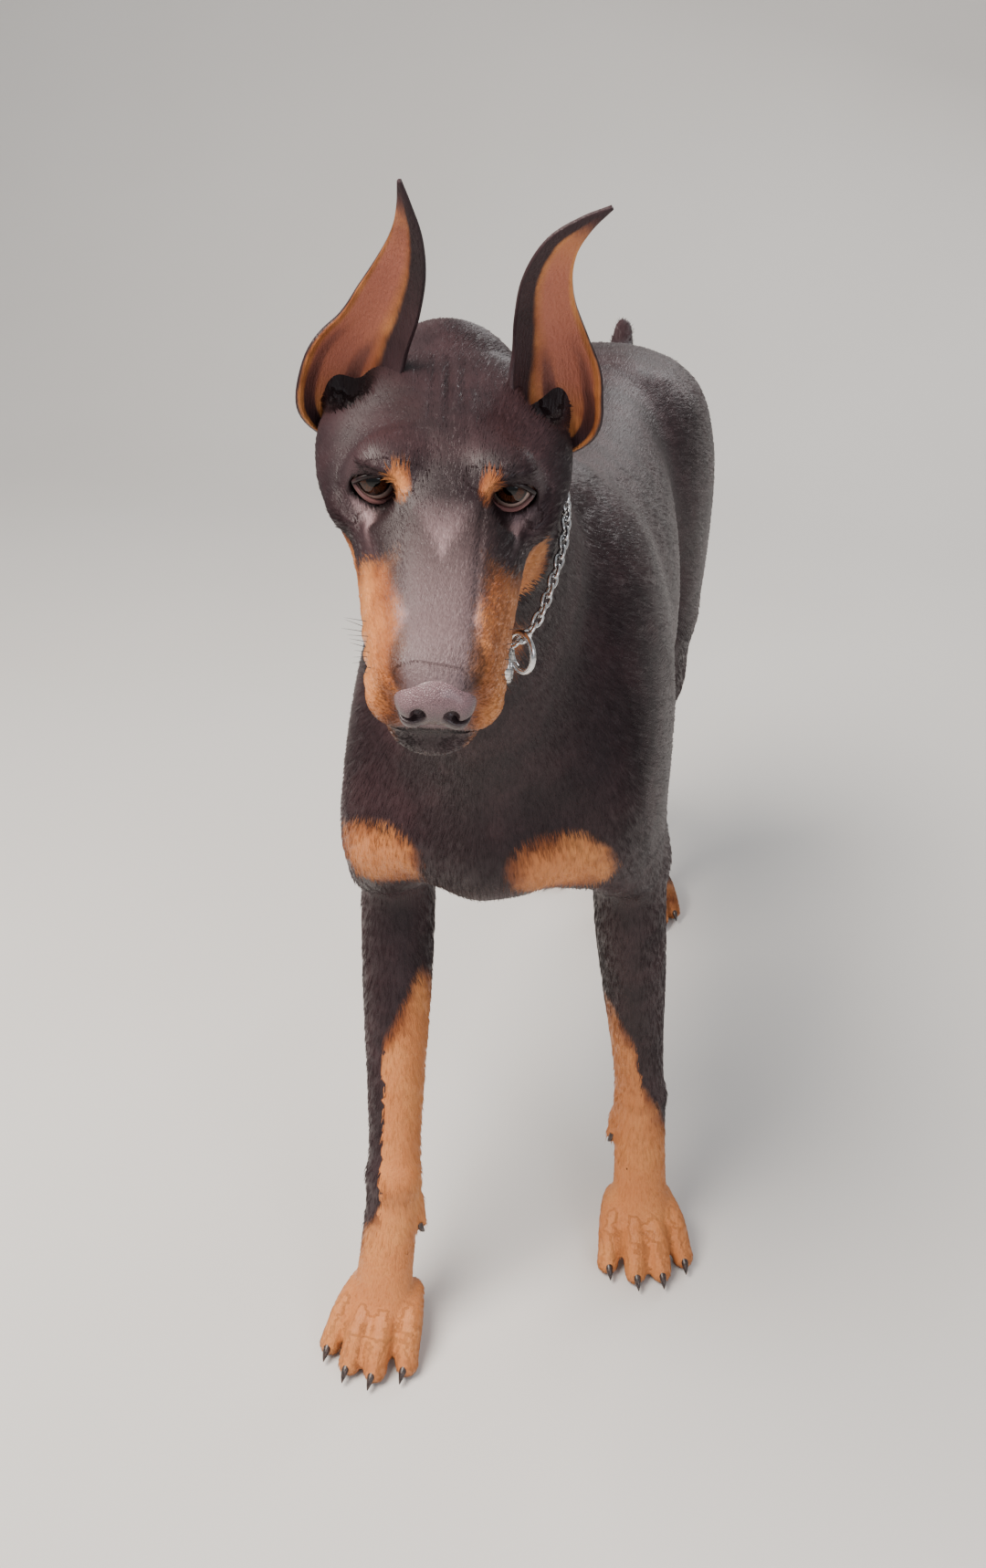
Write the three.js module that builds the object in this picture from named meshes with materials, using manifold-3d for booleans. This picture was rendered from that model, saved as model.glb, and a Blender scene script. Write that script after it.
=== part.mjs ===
// A standing doberman pinscher with cropped ears and a docked tail, life size.
// Millimetres, +Z up. The dog faces -Y, and its left side is at +X.
// Its body is one smooth field made of named forms, parted into nodes by thin cuts.
import * as THREE from 'three';
import { mergeVertices } from 'three/addons/utils/BufferGeometryUtils.js';
import Module from 'manifold-3d';

const wasm = await Module();
wasm.setup();

// Driving sizes
const WITHERS = 670;          // height of the back over the shoulders
const GAP = 0.3;              // clear space between two nodes
const FLOOR = 0;
const EYE_R = 11.5;           // eyeball
const CHAIN_R = 2.0;          // half the width of the collar's links
const CHAIN_BEADS = 26;       // pairs of links round the neck

// Where the head sits: the point midway between the eyes, and how it is turned
const HEAD_AT = new THREE.Vector3(17, -454, 746);
const HEAD_YAW = 12;
const HEAD_PITCH = 23.5;
const HEAD_ROLL = 4.5;
const EYE_AT = [31.5, 4, -1];

// Net steps: the spacing of the sample points, x, y and z
const STEP = {
  torso: [26, 38, 26], thigh: [18, 25, 25], leg: [12, 12.5, 22], paw: [9.6, 10.4, 8.8],
  neck: [19, 19, 19], head: [10, 11.2, 9.4], tail: [8, 8, 9],
};

const COLOURS = {
  coat: 0x33282a,
  rust: 0xb5713f,
  nose: 0x3a2c2c,
  eye: 0x2a1a12,
  steel: 0xb9bcc0,
  ear: 0x4a3430,
};

const rad = THREE.MathUtils.degToRad;
const clamp = THREE.MathUtils.clamp;
const V = (x, y, z) => new THREE.Vector3(x, y, z);
const add = (p, ...q) => q.reduce((a, b) => [a[0] + b[0], a[1] + b[1], a[2] + b[2]], p);
const mul = (p, k) => [p[0] * k, p[1] * k, p[2] * k];
const mix = (p, q, t) => p.map((v, i) => v + (q[i] - v) * t);
const dot = (a, b) => a[0] * b[0] + a[1] * b[1] + a[2] * b[2];
const unit = (p) => mul(p, 1 / Math.hypot(...p));
const cross = (a, b) => [a[1] * b[2] - a[2] * b[1], a[2] * b[0] - a[0] * b[2], a[0] * b[1] - a[1] * b[0]];

// A frame is three axes; PLAIN is the dog's own, DOWN has its second axis pointing to the floor
const PLAIN = [[1, 0, 0], [0, 1, 0], [0, 0, 1]];
const DOWN = [[1, 0, 0], [0, 0, -1], [0, 1, 0]];
const headMatrix = new THREE.Matrix4()
  .makeRotationZ(rad(HEAD_YAW))
  .multiply(new THREE.Matrix4().makeRotationX(rad(HEAD_PITCH)))
  .multiply(new THREE.Matrix4().makeRotationY(rad(HEAD_ROLL)));
const headAxis = (i) => V(0, 0, 0).setFromMatrixColumn(headMatrix, i).toArray();
const HEAD = [headAxis(0), headAxis(1), headAxis(2)];
const onHead = (x, y, z) => V(x, y, z).applyMatrix4(headMatrix).add(HEAD_AT).toArray();

// Two distances joined with a rounded valley as wide as the blend
function joinSmooth(a, b, blend) {
  if (blend <= 0) return Math.min(a, b);
  const h = clamp(0.5 + 0.5 * (b - a) / blend, 0, 1);
  return b * (1 - h) + a * h - blend * h * (1 - h);
}

// Distance to an ellipsoid, near its surface
function egg(centre, radii, blend, axes = PLAIN, cut = false) {
  const dist = (p) => {
    const o = [p[0] - centre[0], p[1] - centre[1], p[2] - centre[2]];
    let k0 = 0;
    let k1 = 0;
    for (let i = 0; i < 3; i++) {
      const q = dot(o, axes[i]);
      k0 += (q / radii[i]) ** 2;
      k1 += (q / radii[i] ** 2) ** 2;
    }
    return k1 > 1e-12 ? Math.sqrt(k0) * (Math.sqrt(k0) - 1) / Math.sqrt(k1) : -Math.min(...radii);
  };
  return { dist, blend, cut, at: centre, reach: Math.max(...radii) };
}

// A curve through rows of numbers, with some steps between two rows
function smoothRows(rows, steps) {
  const get = (i) => {
    if (i < 0) return rows[0].map((v, k) => 2 * v - rows[1][k]);
    if (i >= rows.length) return rows.at(-1).map((v, k) => 2 * v - rows.at(-2)[k]);
    return rows[i];
  };
  const out = [];
  for (let i = 0; i < rows.length - 1; i++) {
    const [a, b, c, d] = [get(i - 1), get(i), get(i + 1), get(i + 2)];
    for (let j = 0; j < steps; j++) {
      const t = j / steps;
      out.push(b.map((v, k) => 0.5 * (2 * v + (c[k] - a[k]) * t + (2 * a[k] - 5 * v + 4 * c[k] - d[k]) * t * t
        + (3 * v - a[k] - 3 * c[k] + d[k]) * t ** 3)));
    }
  }
  out.push(rows.at(-1));
  return out;
}

// An oval section carried along a path. Rows: x, y, z, half depth, half width; the width lies along side
function limb(rows, side, blend, steps = 3) {
  const path = rows.length > 2 && steps > 1 ? smoothRows(rows, steps) : rows;
  const across = unit(side);
  const dist = (p) => {
    let best = Infinity;
    for (let i = 0; i < path.length - 1; i++) {
      const [A, B] = [path[i], path[i + 1]];
      const ab = [B[0] - A[0], B[1] - A[1], B[2] - A[2]];
      const ap = [p[0] - A[0], p[1] - A[1], p[2] - A[2]];
      const t = clamp(dot(ap, ab) / dot(ab, ab), 0, 1);
      const o = [ap[0] - ab[0] * t, ap[1] - ab[1] * t, ap[2] - ab[2] * t];
      const deep = A[3] + (B[3] - A[3]) * t;
      const wide = A[4] + (B[4] - A[4]) * t;
      const lateral = dot(o, across);
      const full = Math.hypot(...o);
      const rest = Math.max(full * full - lateral * lateral, 0);
      const e = Math.sqrt((lateral / wide) ** 2 + rest / deep ** 2);
      const d = e > 1e-6 ? full * (1 - 1 / e) : -Math.min(deep, wide);
      if (d < best) best = d;
    }
    return best;
  };
  const box = new THREE.Box3().setFromPoints(path.map((r) => V(r[0], r[1], r[2])));
  const at = box.getCenter(V(0, 0, 0));
  const reach = at.distanceTo(box.max) + Math.max(...path.map((r) => Math.max(r[3], r[4])));
  return { dist, blend, at: at.toArray(), reach };
}

// The value of one column of the rows at a place along them, as a smooth curve
function along(rows, column, y) {
  const n = rows.length;
  let i = 0;
  while (i < n - 2 && y > rows[i + 1][0]) i++;
  const slope = (k) => {
    const [a, b] = [Math.max(k - 1, 0), Math.min(k + 1, n - 1)];
    return (rows[b][column] - rows[a][column]) / (rows[b][0] - rows[a][0]);
  };
  const w = rows[i + 1][0] - rows[i][0];
  const t = clamp((y - rows[i][0]) / w, 0, 1);
  const t2 = t * t;
  const t3 = t2 * t;
  return (2 * t3 - 3 * t2 + 1) * rows[i][column] + (t3 - 2 * t2 + t) * w * slope(i)
    + (3 * t2 - 2 * t3) * rows[i + 1][column] + (t3 - t2) * w * slope(i + 1);
}

// A body lofted along its second axis with egg-shaped sections and round ends.
// Rows: place along, centre across, far edge, near edge, half width, where it is widest
function hull(rows, blend, { far = 2.2, near = 2.0, axes = PLAIN, origin = [0, 0, 0], end = 30 } = {}) {
  const [first, last] = [rows[0][0], rows.at(-1)[0]];
  const dist = (p) => {
    const o = [p[0] - origin[0], p[1] - origin[1], p[2] - origin[2]];
    const y = dot(o, axes[1]);
    const s = clamp(y, first, last);
    const [centre, top, low, width, widest] = [1, 2, 3, 4, 5].map((c) => along(rows, c, s));
    const x = Math.abs(dot(o, axes[0]) - centre);
    const z = dot(o, axes[2]) - widest;
    const half = z > 0 ? top - widest : widest - low;
    const n = z > 0 ? far : near;
    const r = ((x / width) ** n + (Math.abs(z) / half) ** n) ** (1 / n);
    const radial = r > 1e-3 ? Math.hypot(x, z) * (1 - 1 / r) : -Math.min(width, half);
    return -joinSmooth(-radial, -Math.max(first - y, y - last), end);
  };
  const mid = rows[Math.floor(rows.length / 2)];
  const centre = (mid[2] + mid[3]) / 2;
  const at = [0, 1, 2].map((k) => origin[k] + axes[1][k] * (first + last) / 2 + axes[2][k] * centre
    + axes[0][k] * mid[1]);
  const span = Math.max(...rows.map((r) => Math.max(Math.abs(r[2] - centre), Math.abs(r[3] - centre))));
  const wide = Math.max(...rows.map((r) => r[4] + Math.abs(r[1] - mid[1])));
  return { dist, blend, at, reach: Math.hypot((last - first) / 2, span, wide) };
}

// The whole field of a list of forms; a form too far off to matter is skipped
function fieldOf(forms) {
  return (p) => {
    let d = 1e6;
    for (const f of forms) {
      const far = Math.hypot(p[0] - f.at[0], p[1] - f.at[1], p[2] - f.at[2]) - f.reach;
      if (f.cut) {
        if (far < -d + f.blend + 8 || far < 8) d = -joinSmooth(-d, f.dist(p), f.blend);
      } else if (far < d + f.blend) {
        d = joinSmooth(d, f.dist(p), d > 1e5 ? 0 : f.blend);
      }
    }
    return d;
  };
}

// The trunk, with the shoulders, breast, withers and the flesh between the thighs
function torsoForms() {
  const trunk = [
    [-300, -4, 575, 420, 50, 480], [-250, -3, 632, 378, 74, 492], [-190, -2, 666, 352, 88, 500],
    [-120, 0, 664, 345, 97, 505], [-40, 0, 656, 360, 99, 512], [40, 0, 656, 390, 91, 525],
    [110, 0, 663, 424, 76, 550], [180, 0, 669, 452, 72, 575], [250, 0, 664, 478, 66, 580],
    [318, 0, 632, 525, 44, 585],
  ];
  const forms = [hull(trunk, 0, { far: 2.2, near: 1.9, end: 45 })];
  for (const s of [1, -1]) {
    // The right foreleg reaches forward, and its shoulder with it
    const g = s > 0 ? 0 : -1;
    const shoulder = [
      [0, 30, -135, -205, 16, -170], [35, 44, -118, -238, 34, -175], [75, 52, -104, -268, 42, -182],
      [115, 57, -96, -286 + g * 6, 47, -190], [155, 62, -96, -298 + g * 8, 48, -200],
      [190, 66, -104, -298 + g * 14, 46, -206 + g * 10],
      [225, 72, -122 + g * 6, -282 + g * 24, 40, -205 + g * 20],
      [260, 79, -143 + g * 14, -256 + g * 32, 34, -198 + g * 26],
      [290, 84, -156 + g * 22, -228 + g * 32, 29, -190 + g * 28],
    ].map(([down, x, ...rest]) => [down, s * x, ...rest]);
    const laid = { far: 2.3, near: 2.3, axes: DOWN, origin: [0, 0, WITHERS - 10], end: 30 };
    forms.push(hull(shoulder, 34, laid));
    const breast = [
      [0, -294, 456, 30, 34], [s * 30 - 3, -286, 452, 33, 28], [s * 58 - 3, -262 + g * 8, 442, 30, 28],
    ];
    forms.push(limb(breast, [0, 0, 1], 30, 1));
  }
  forms.push(limb([[0, -200, 656, 14, 14], [0, -150, 656, 14, 12]], [1, 0, 0], 34, 1));
  const crotch = [
    [40, 0, 300, 200, 46, 250], [100, 0, 322, 190, 44, 255],
    [150, 0, 322, 190, 36, 255], [190, 0, 300, 200, 26, 250],
  ];
  forms.push(hull(crotch, 30, { axes: DOWN, origin: [0, 0, WITHERS - 10], end: 24 }));
  return forms;
}

// The neck rises forward from the withers; its third axis points to the crest
const NECK_FROM = [0, -190, 560];
const neckUp = unit([0.02, -0.77, 0.64]);
const neckSide = unit(cross(neckUp, [0, 0.64, 0.77]));
const NECK = [neckSide, neckUp, cross(neckSide, neckUp)];
function neckForms() {
  const rows = [
    [0, 0, 84, -148, 66, -20], [30, 0, 88, -150, 66, -20], [70, 0, 82, -130, 61, -14],
    [120, 0, 74, -106, 55, -8], [170, 1, 68, -82, 51, -4], [226, 3, 65, -60, 49, 0],
    [275, 5, 56, -48, 46, 4],
  ];
  return [hull(rows, 40, { far: 2.1, near: 2.0, axes: NECK, origin: NECK_FROM, end: 30 })];
}

// Four arched toes in front of the knuckles, and the pad behind them
const TOES = [[-1.5, -10], [-0.5, 3], [0.5, 3], [1.5, -10]];
function toePath(knuckles, ahead, side, size, spread, [a, lead]) {
  const fan = mul(side, a * 3.5 * spread);
  const place = (out, forward, height, part) => {
    const across = mul(side, a * out * size);
    return add(knuckles, across, mul(ahead, forward), mul(fan, part), [0, 0, height]);
  };
  const root = place(13, lead * 0.5 - 12, 36, 0);
  const knee = place(16.5, 14 + lead, 29, 0.4);
  const middle = place(17.5, 29 + lead, 17, 0.7);
  return [root, knee, middle, place(18, 36 + lead, 9.5, 1)];
}
function pawForms(knuckles, ahead, side, size, spread = 1) {
  const forms = TOES.map((toe, i) => {
    const [root, knee, middle, tip] = toePath(knuckles, ahead, side, size, spread, toe);
    const rows = [[...root, 14, 11], [...knee, 13, 10.5], [...middle, 11.5, 10.2], [...tip, 10.3, 9.6]];
    return limb(rows, side, i ? 5 : 12);
  });
  const pad = add(knuckles, mul(ahead, -10), [0, 0, 13]);
  forms.push(egg(pad, [23 * size, 20, 14], 8, [side, ahead, [0, 0, 1]]));
  return forms;
}
function pawFrame(from, toes, length) {
  const ahead = unit([toes[0] - from[0], toes[1] - from[1], 0]);
  const side = ahead[1] < 0 ? [-ahead[1], ahead[0], 0] : [ahead[1], -ahead[0], 0];
  const knuckles = add(toes, mul(ahead, -length));
  return { ahead, side, knuckles: [knuckles[0], knuckles[1], FLOOR] };
}

const FORELEGS = {
  left: { s: 1, elbow: [86, -186, 362], carpus: [104, -166, 142], toes: [128, -242, 0] },
  right: { s: -1, elbow: [-86, -212, 352], carpus: [-73, -298, 140], toes: [-82, -382, 0] },
};
function forelegForms({ s, elbow, carpus, toes }) {
  const { ahead, side, knuckles } = pawFrame(carpus, toes, 44);
  const at = (t) => mix(elbow, carpus, t);
  const rows = [
    [...add(elbow, [0, 2, 20]), 34, 28],
    [...at(0.12), 32, 28],
    [...at(0.4), 28, 26],
    [...at(0.72), 22.5, 22],
    [...at(0.93), 20.5, 21],
    [...add(carpus, mul(ahead, 2)), 21.5, 23],
    [...add(carpus, mul(ahead, 6), [0, 0, -22]), 19, 22],
    [...add(knuckles, mul(ahead, -14), [0, 0, 62]), 18.5, 23],
    [...add(knuckles, mul(ahead, -5), [0, 0, 38]), 19, 27],
  ];
  const inner = mul(side, -s);
  const dewclaw = [
    [...add(carpus, mul(inner, 19), [0, 0, -22]), 6, 6],
    [...add(carpus, mul(inner, 24), mul(ahead, 5), [0, 0, -42]), 4.5, 4.5],
  ];
  return [
    limb(rows, side, 16),
    egg(add(elbow, [0, 30, 10]), [14, 15, 22], 16),
    egg(add(carpus, mul(ahead, -20), [0, 0, -4]), [10, 9, 12], 7),
    limb(dewclaw, side, 6, 1),
    ...pawForms(knuckles, ahead, side, 1),
  ];
}

const HINDLEGS = {
  left: { s: 1, hip: [70, 205, 560], stifle: [68, 148, 372], hock: [38, 362, 188], toes: [75, 272, 0] },
  right: { s: -1, hip: [-70, 212, 558], stifle: [-74, 172, 368], hock: [-50, 412, 186], toes: [-72, 330, 0] },
};
function hindlegForms({ s, hip, stifle, hock, toes }) {
  const { ahead, side, knuckles } = pawFrame(hock, toes, 42);
  // How far this hip and stifle sit behind the plain stance
  const h = hip[1] - 205;
  const t = stifle[1] - 148;
  const low = Math.abs(stifle[0]);
  const thigh = [
    [10, 44, 270 + h, 160 + h, 26, 215 + h], [40, 52, 312 + h, 138 + h, 38, 220 + h],
    [80, 58, 334 + h, 124 + h, 43, 226 + h], [120, 62, 338 + h, 116 + h, 43, 226 + h],
    [160, 65, 324 + h, 112 + h, 40, 218 + h], [200, 67, 298 + t, 108 + t, 37, 205 + t],
    [235, 68, 268 + t, 108 + t, 34, 192 + t], [270, low - 4, 242 + t, 114 + t, 29, 180 + t],
    [305, low - 6, 228 + t, 124 + t, 24, 176 + t],
  ].map(([down, x, ...rest]) => [down, s * x, ...rest]);
  const shin = (k, ...off) => add(mix(stifle, hock, k), off);
  const gaskin = [
    [...add(stifle, [-s * 4, 30, 0]), 36, 24],
    [...shin(0.3, s, 4, 2), 32, 23],
    [...shin(0.62, 0, 4, 2), 22, 17.5],
    [...add(hock, [0, -3, 16]), 16.5, 14.5],
    [...hock, 18, 16.5],
    [...add(mix(hock, knuckles, 0.25), [0, 1, 0]), 16.5, 14.5],
    [...mix(hock, knuckles, 0.62), 15.5, 15],
    [...add(knuckles, mul(ahead, -8), [0, 0, 38]), 16, 19],
  ];
  const tendon = [
    [...add(stifle, [-s * 4, 88, -2]), 16, 12],
    [...shin(0.66, 0, 25, 12), 10, 8],
    [...add(hock, [0, 19, 12]), 10.5, 9.5],
    [...add(hock, [0, 13, -14]), 12, 11],
  ];
  return [
    hull(thigh, 36, { far: 2.3, near: 2.3, axes: DOWN, origin: [0, 0, WITHERS - 10], end: 24 }),
    egg(add(stifle, [-s * 3, -2, 0]), [22, 24, 34], 24),
    limb(gaskin, [1, 0, 0], 24),
    limb(tendon, [1, 0, 0], 16),
    ...pawForms(knuckles, ahead, side, 0.88, 0.6),
  ];
}

// The docked tail: a short stub, held up
const TAIL = [[0, 285, 625, 20, 19], [0, 318, 640, 15, 14], [0, 334, 662, 9, 9]];
const tailForms = () => [limb(TAIL, [1, 0, 0], 22)];

// The head in its own frame: x to its left, y back, z up
function headForms() {
  const on = (at, radii, blend, turn = 0, cut = false) => {
    const m = new THREE.Matrix4().makeRotationZ(rad(turn)).premultiply(headMatrix);
    const axes = [0, 1, 2].map((i) => V(0, 0, 0).setFromMatrixColumn(m, i).toArray());
    return egg(onHead(...at), radii, blend, axes, cut);
  };
  const strand = (rows, blend) => {
    const placed = rows.map(([x, y, z, deep, wide]) => [...onHead(x, y, z), deep, wide]);
    return limb(placed, HEAD[0], blend);
  };
  const muzzle = [
    [-116, 0, -6, -42, 20, -22], [-104, 0, -1, -52, 27, -28],
    [-80, 0, 2, -57, 31.5, -32], [-50, 0, 5, -60, 35.5, -32],
    [-18, 0, 9, -60, 40, -30], [16, 0, 12, -58, 44, -28],
  ];
  const forms = [
    on([0, 54, -17], [53, 56, 32], 20),
    on([0, 20, -8], [42, 44, 27], 14),
    hull(muzzle, 12, { far: 2.8, near: 2.5, axes: HEAD, origin: HEAD_AT.toArray(), end: 11 }),
  ];
  for (const s of [1, -1]) {
    forms.push(on([s * 27, 2, 11], [15, 14, 8], 9));
    forms.push(on([s * 45, 26, -16], [13, 38, 14], 14));
    forms.push(on([s * 40, 50, -30], [20, 36, 33], 18));
    const jaw = [
      [s * 3, -96, -48, 12, 14], [s * 12, -60, -52, 13, 12],
      [s * 26, -10, -56, 15, 12], [s * 36, 40, -50, 20, 14],
    ];
    forms.push(strand(jaw, 10));
    forms.push(on([s * 50, 82, -12], [15, 14, 22], 12));
  }
  forms.push(on([0, -92, -50], [15, 16, 11], 8));
  forms.push(strand([[0, 20, -56, 16, 22], [0, 70, -50, 34, 36], [0, 110, -36, 40, 40]], 26));
  for (const s of [1, -1]) {
    forms.push(on([s * 33, -12, 0], [11, 11, 9], 9, -s * 28, true));
    forms.push(on([s * EYE_AT[0], EYE_AT[1], EYE_AT[2]], [14.5, 14.5, 13.5], 4));
  }
  return forms;
}

const bodyForms = [
  ...torsoForms(), ...neckForms(), ...forelegForms(FORELEGS.left), ...forelegForms(FORELEGS.right),
  ...hindlegForms(HINDLEGS.left), ...hindlegForms(HINDLEGS.right), ...tailForms(), ...headForms(),
];
const skin = fieldOf(bodyForms);

// Where the four corners of a grid face are in and out by turns, two walls would meet in one edge.
// The nearer of the two outer corners is filled, until no such face is left
const FILL = -0.4;
function fillPinches(value, n, index) {
  const rim = (c) => c.some((v, k) => v === 0 || v === n[k] - 1);
  const at = (c) => value[index(...c)];
  let changed = true;
  while (changed) {
    changed = false;
    for (let i = 0; i < n[0] - 1; i++) {
      for (let j = 0; j < n[1] - 1; j++) {
        for (let k = 0; k < n[2] - 1; k++) {
          for (const [u, v] of [[[1, 0, 0], [0, 1, 0]], [[0, 1, 0], [0, 0, 1]], [[0, 0, 1], [1, 0, 0]]]) {
            const face = [[i, j, k], add([i, j, k], u), add([i, j, k], v), add([i, j, k], u, v)];
            const inside = face.map((c) => at(c) < 0);
            if (inside[0] !== inside[3] || inside[1] !== inside[2] || inside[0] === inside[1]) continue;
            const outer = face.filter((c, m) => !inside[m] && !rim(c)).sort((a, b) => at(a) - at(b));
            if (!outer.length) continue;
            value[index(...outer[0])] = FILL;
            changed = true;
          }
        }
      }
    }
  }
}

// A net of the level where the field equals inset, inside a box: one vertex in each cell that the
// surface crosses, at the mean of its edge crossings, and a quad round each crossed edge
function netOf(field, low, high, step, inset = 0, nudge = 0) {
  const n = [0, 1, 2].map((k) => Math.ceil((high[k] - low[k]) / step[k]) + 3);
  const origin = low.map((v, k) => v - step[k] * (1 + nudge));
  const index = (i, j, k) => (i * n[1] + j) * n[2] + k;
  const place = (i, j, k) => [origin[0] + i * step[0], origin[1] + j * step[1], origin[2] + k * step[2]];
  const value = new Float32Array(n[0] * n[1] * n[2]);
  for (let i = 0; i < n[0]; i++) {
    for (let j = 0; j < n[1]; j++) {
      for (let k = 0; k < n[2]; k++) {
        const rim = i === 0 || j === 0 || k === 0 || i === n[0] - 1 || j === n[1] - 1 || k === n[2] - 1;
        value[index(i, j, k)] = rim ? 1 : field(place(i, j, k)) - inset;
      }
    }
  }
  fillPinches(value, n, index);
  const corners = [0, 1, 2, 3, 4, 5, 6, 7].map((c) => [c >> 2 & 1, c >> 1 & 1, c & 1]);
  const cellOf = new Map();
  const points = [];
  const vertexAt = (i, j, k) => {
    const key = index(i, j, k);
    if (cellOf.has(key)) return cellOf.get(key);
    const sum = [0, 0, 0];
    let count = 0;
    for (let a = 0; a < 8; a++) {
      for (const bit of [1, 2, 4]) {
        const b = a | bit;
        if (b === a) continue;
        const [ca, cb] = [corners[a], corners[b]];
        const va = value[index(i + ca[0], j + ca[1], k + ca[2])];
        const vb = value[index(i + cb[0], j + cb[1], k + cb[2])];
        if (va < 0 === vb < 0) continue;
        const t = va / (va - vb);
        for (let m = 0; m < 3; m++) sum[m] += ca[m] + (cb[m] - ca[m]) * t;
        count += 1;
      }
    }
    const corner = place(i, j, k);
    points.push(...sum.map((v, m) => corner[m] + step[m] * v / count));
    cellOf.set(key, points.length / 3 - 1);
    return points.length / 3 - 1;
  };
  const triangles = [];
  const axes = [[1, 0, 0], [0, 1, 0], [0, 0, 1]];
  for (let i = 0; i < n[0] - 1; i++) {
    for (let j = 0; j < n[1] - 1; j++) {
      for (let k = 0; k < n[2] - 1; k++) {
        for (let m = 0; m < 3; m++) {
          const d = axes[m];
          const at = [i, j, k];
          if (at[(m + 1) % 3] < 1 || at[(m + 2) % 3] < 1) continue;
          const here = value[index(i, j, k)] < 0;
          const there = value[index(i + d[0], j + d[1], k + d[2])] < 0;
          if (here === there) continue;
          const [u, v] = [axes[(m + 1) % 3], axes[(m + 2) % 3]];
          const quad = [[0, 0], [1, 0], [1, 1], [0, 1]].map(([a, b]) => vertexAt(
            i - u[0] * (1 - a) - v[0] * (1 - b),
            j - u[1] * (1 - a) - v[1] * (1 - b),
            k - u[2] * (1 - a) - v[2] * (1 - b)));
          if (!here) quad.reverse();
          triangles.push(quad[0], quad[1], quad[2], quad[0], quad[2], quad[3]);
        }
      }
    }
  }
  return new wasm.Manifold(new wasm.Mesh({
    numProp: 3, vertProperties: new Float32Array(points), triVerts: new Uint32Array(triangles) }));
}

// Whether each edge of a solid belongs to two faces only
function unpinched(solid) {
  const edges = new Map();
  const { triVerts, vertProperties, numProp } = solid.getMesh();
  const nameOf = (v) => [0, 1, 2].map((k) => vertProperties[v * numProp + k].toFixed(3)).join();
  triVerts.forEach((v, i) => {
    const [a, b] = [nameOf(v), nameOf(triVerts[i % 3 === 2 ? i - 2 : i + 1])];
    const key = a < b ? a + b : b + a;
    edges.set(key, (edges.get(key) || 0) + 1);
  });
  return [...edges.values()].every((count) => count === 2);
}

// A net can pinch where two walls meet in one cell, so a few grid places are tried
const NUDGES = [0, 0.21, 0.37, 0.53, 0.71, 0.86, 0.13, 0.29, 0.45, 0.64];
const largest = (solid) => solid.decompose().reduce((a, b) => (a.volume() > b.volume() ? a : b));
function netted(field, low, high, step, shape = (net) => net, inset = 0) {
  for (const nudge of NUDGES) {
    let piece;
    try {
      piece = largest(shape(netOf(field, low, high, step, inset, nudge)));
    } catch (error) {
      continue;
    }
    if (unpinched(piece)) return piece;
  }
  throw new Error('every grid place pinches the net');
}

// A closed three.js geometry as a solid with its faces pointing out
function solidFrom(geometry) {
  const plain = geometry.clone();
  plain.deleteAttribute('normal');
  plain.deleteAttribute('uv');
  const merged = mergeVertices(plain, 1e-3);
  const vertProperties = new Float32Array(merged.attributes.position.array);
  const triVerts = new Uint32Array(merged.index.array);
  const solid = new wasm.Manifold(new wasm.Mesh({ numProp: 3, vertProperties, triVerts }));
  if (solid.volume() > 0) return solid;
  for (let i = 0; i < triVerts.length; i += 3) {
    [triVerts[i], triVerts[i + 1]] = [triVerts[i + 1], triVerts[i]];
  }
  return new wasm.Manifold(new wasm.Mesh({ numProp: 3, vertProperties, triVerts }));
}

// A huge box whose one face lies in the plane through a point, on the side the normal points to
const HUGE = 1600;
function halfSpace(point, normal, shift = 0) {
  const towards = V(...unit(normal));
  const box = new THREE.BoxGeometry(HUGE, HUGE, HUGE);
  box.applyQuaternion(new THREE.Quaternion().setFromUnitVectors(V(0, 0, 1), towards));
  const middle = V(...point).addScaledVector(towards, HUGE / 2 + shift);
  box.translate(middle.x, middle.y, middle.z);
  return solidFrom(box);
}

// The space inside all the half spaces; shift moves every face outwards
function regionOf(planes, shift = 0) {
  return planes.map(([point, normal]) => halfSpace(point, normal, -shift)).reduce((a, b) => a.intersect(b));
}

const without = (solid, ...others) => others.reduce((a, b) => a.subtract(b), solid);
const flip = ([point, normal]) => [point, mul(normal, -1)];

// Corners closer together than the weld are made one, so that no face is a sliver
const WELD = 0.12;
function welded(solid) {
  const { vertProperties, triVerts, numProp } = solid.getMesh();
  const position = new Float32Array(vertProperties.length / numProp * 3);
  for (let i = 0; i < position.length / 3; i++) {
    for (let k = 0; k < 3; k++) position[i * 3 + k] = vertProperties[i * numProp + k];
  }
  const geometry = new THREE.BufferGeometry();
  geometry.setAttribute('position', new THREE.BufferAttribute(position, 3));
  geometry.setIndex([...triVerts]);
  for (const weld of [WELD, WELD / 3, WELD / 12]) {
    const merged = mergeVertices(geometry, weld);
    const faces = [];
    const { array } = merged.index;
    for (let i = 0; i < array.length; i += 3) {
      const [a, b, c] = array.slice(i, i + 3);
      if (a !== b && b !== c && c !== a) faces.push(a, b, c);
    }
    merged.setIndex(faces);
    try {
      const pieces = solidFrom(merged).decompose();
      if (pieces.length === 1) return merged;
    } catch (error) {
      continue;
    }
  }
  return geometry;
}

const group = new THREE.Group();
function addNode(name, solid, colour, roughness = 0.6, metalness = 0) {
  const geometry = welded(largest(solid));
  geometry.computeVertexNormals();
  const finish = new THREE.MeshStandardMaterial({ color: colour, roughness, metalness });
  const mesh = new THREE.Mesh(geometry, finish);
  mesh.name = name;
  group.add(mesh);
}

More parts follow.
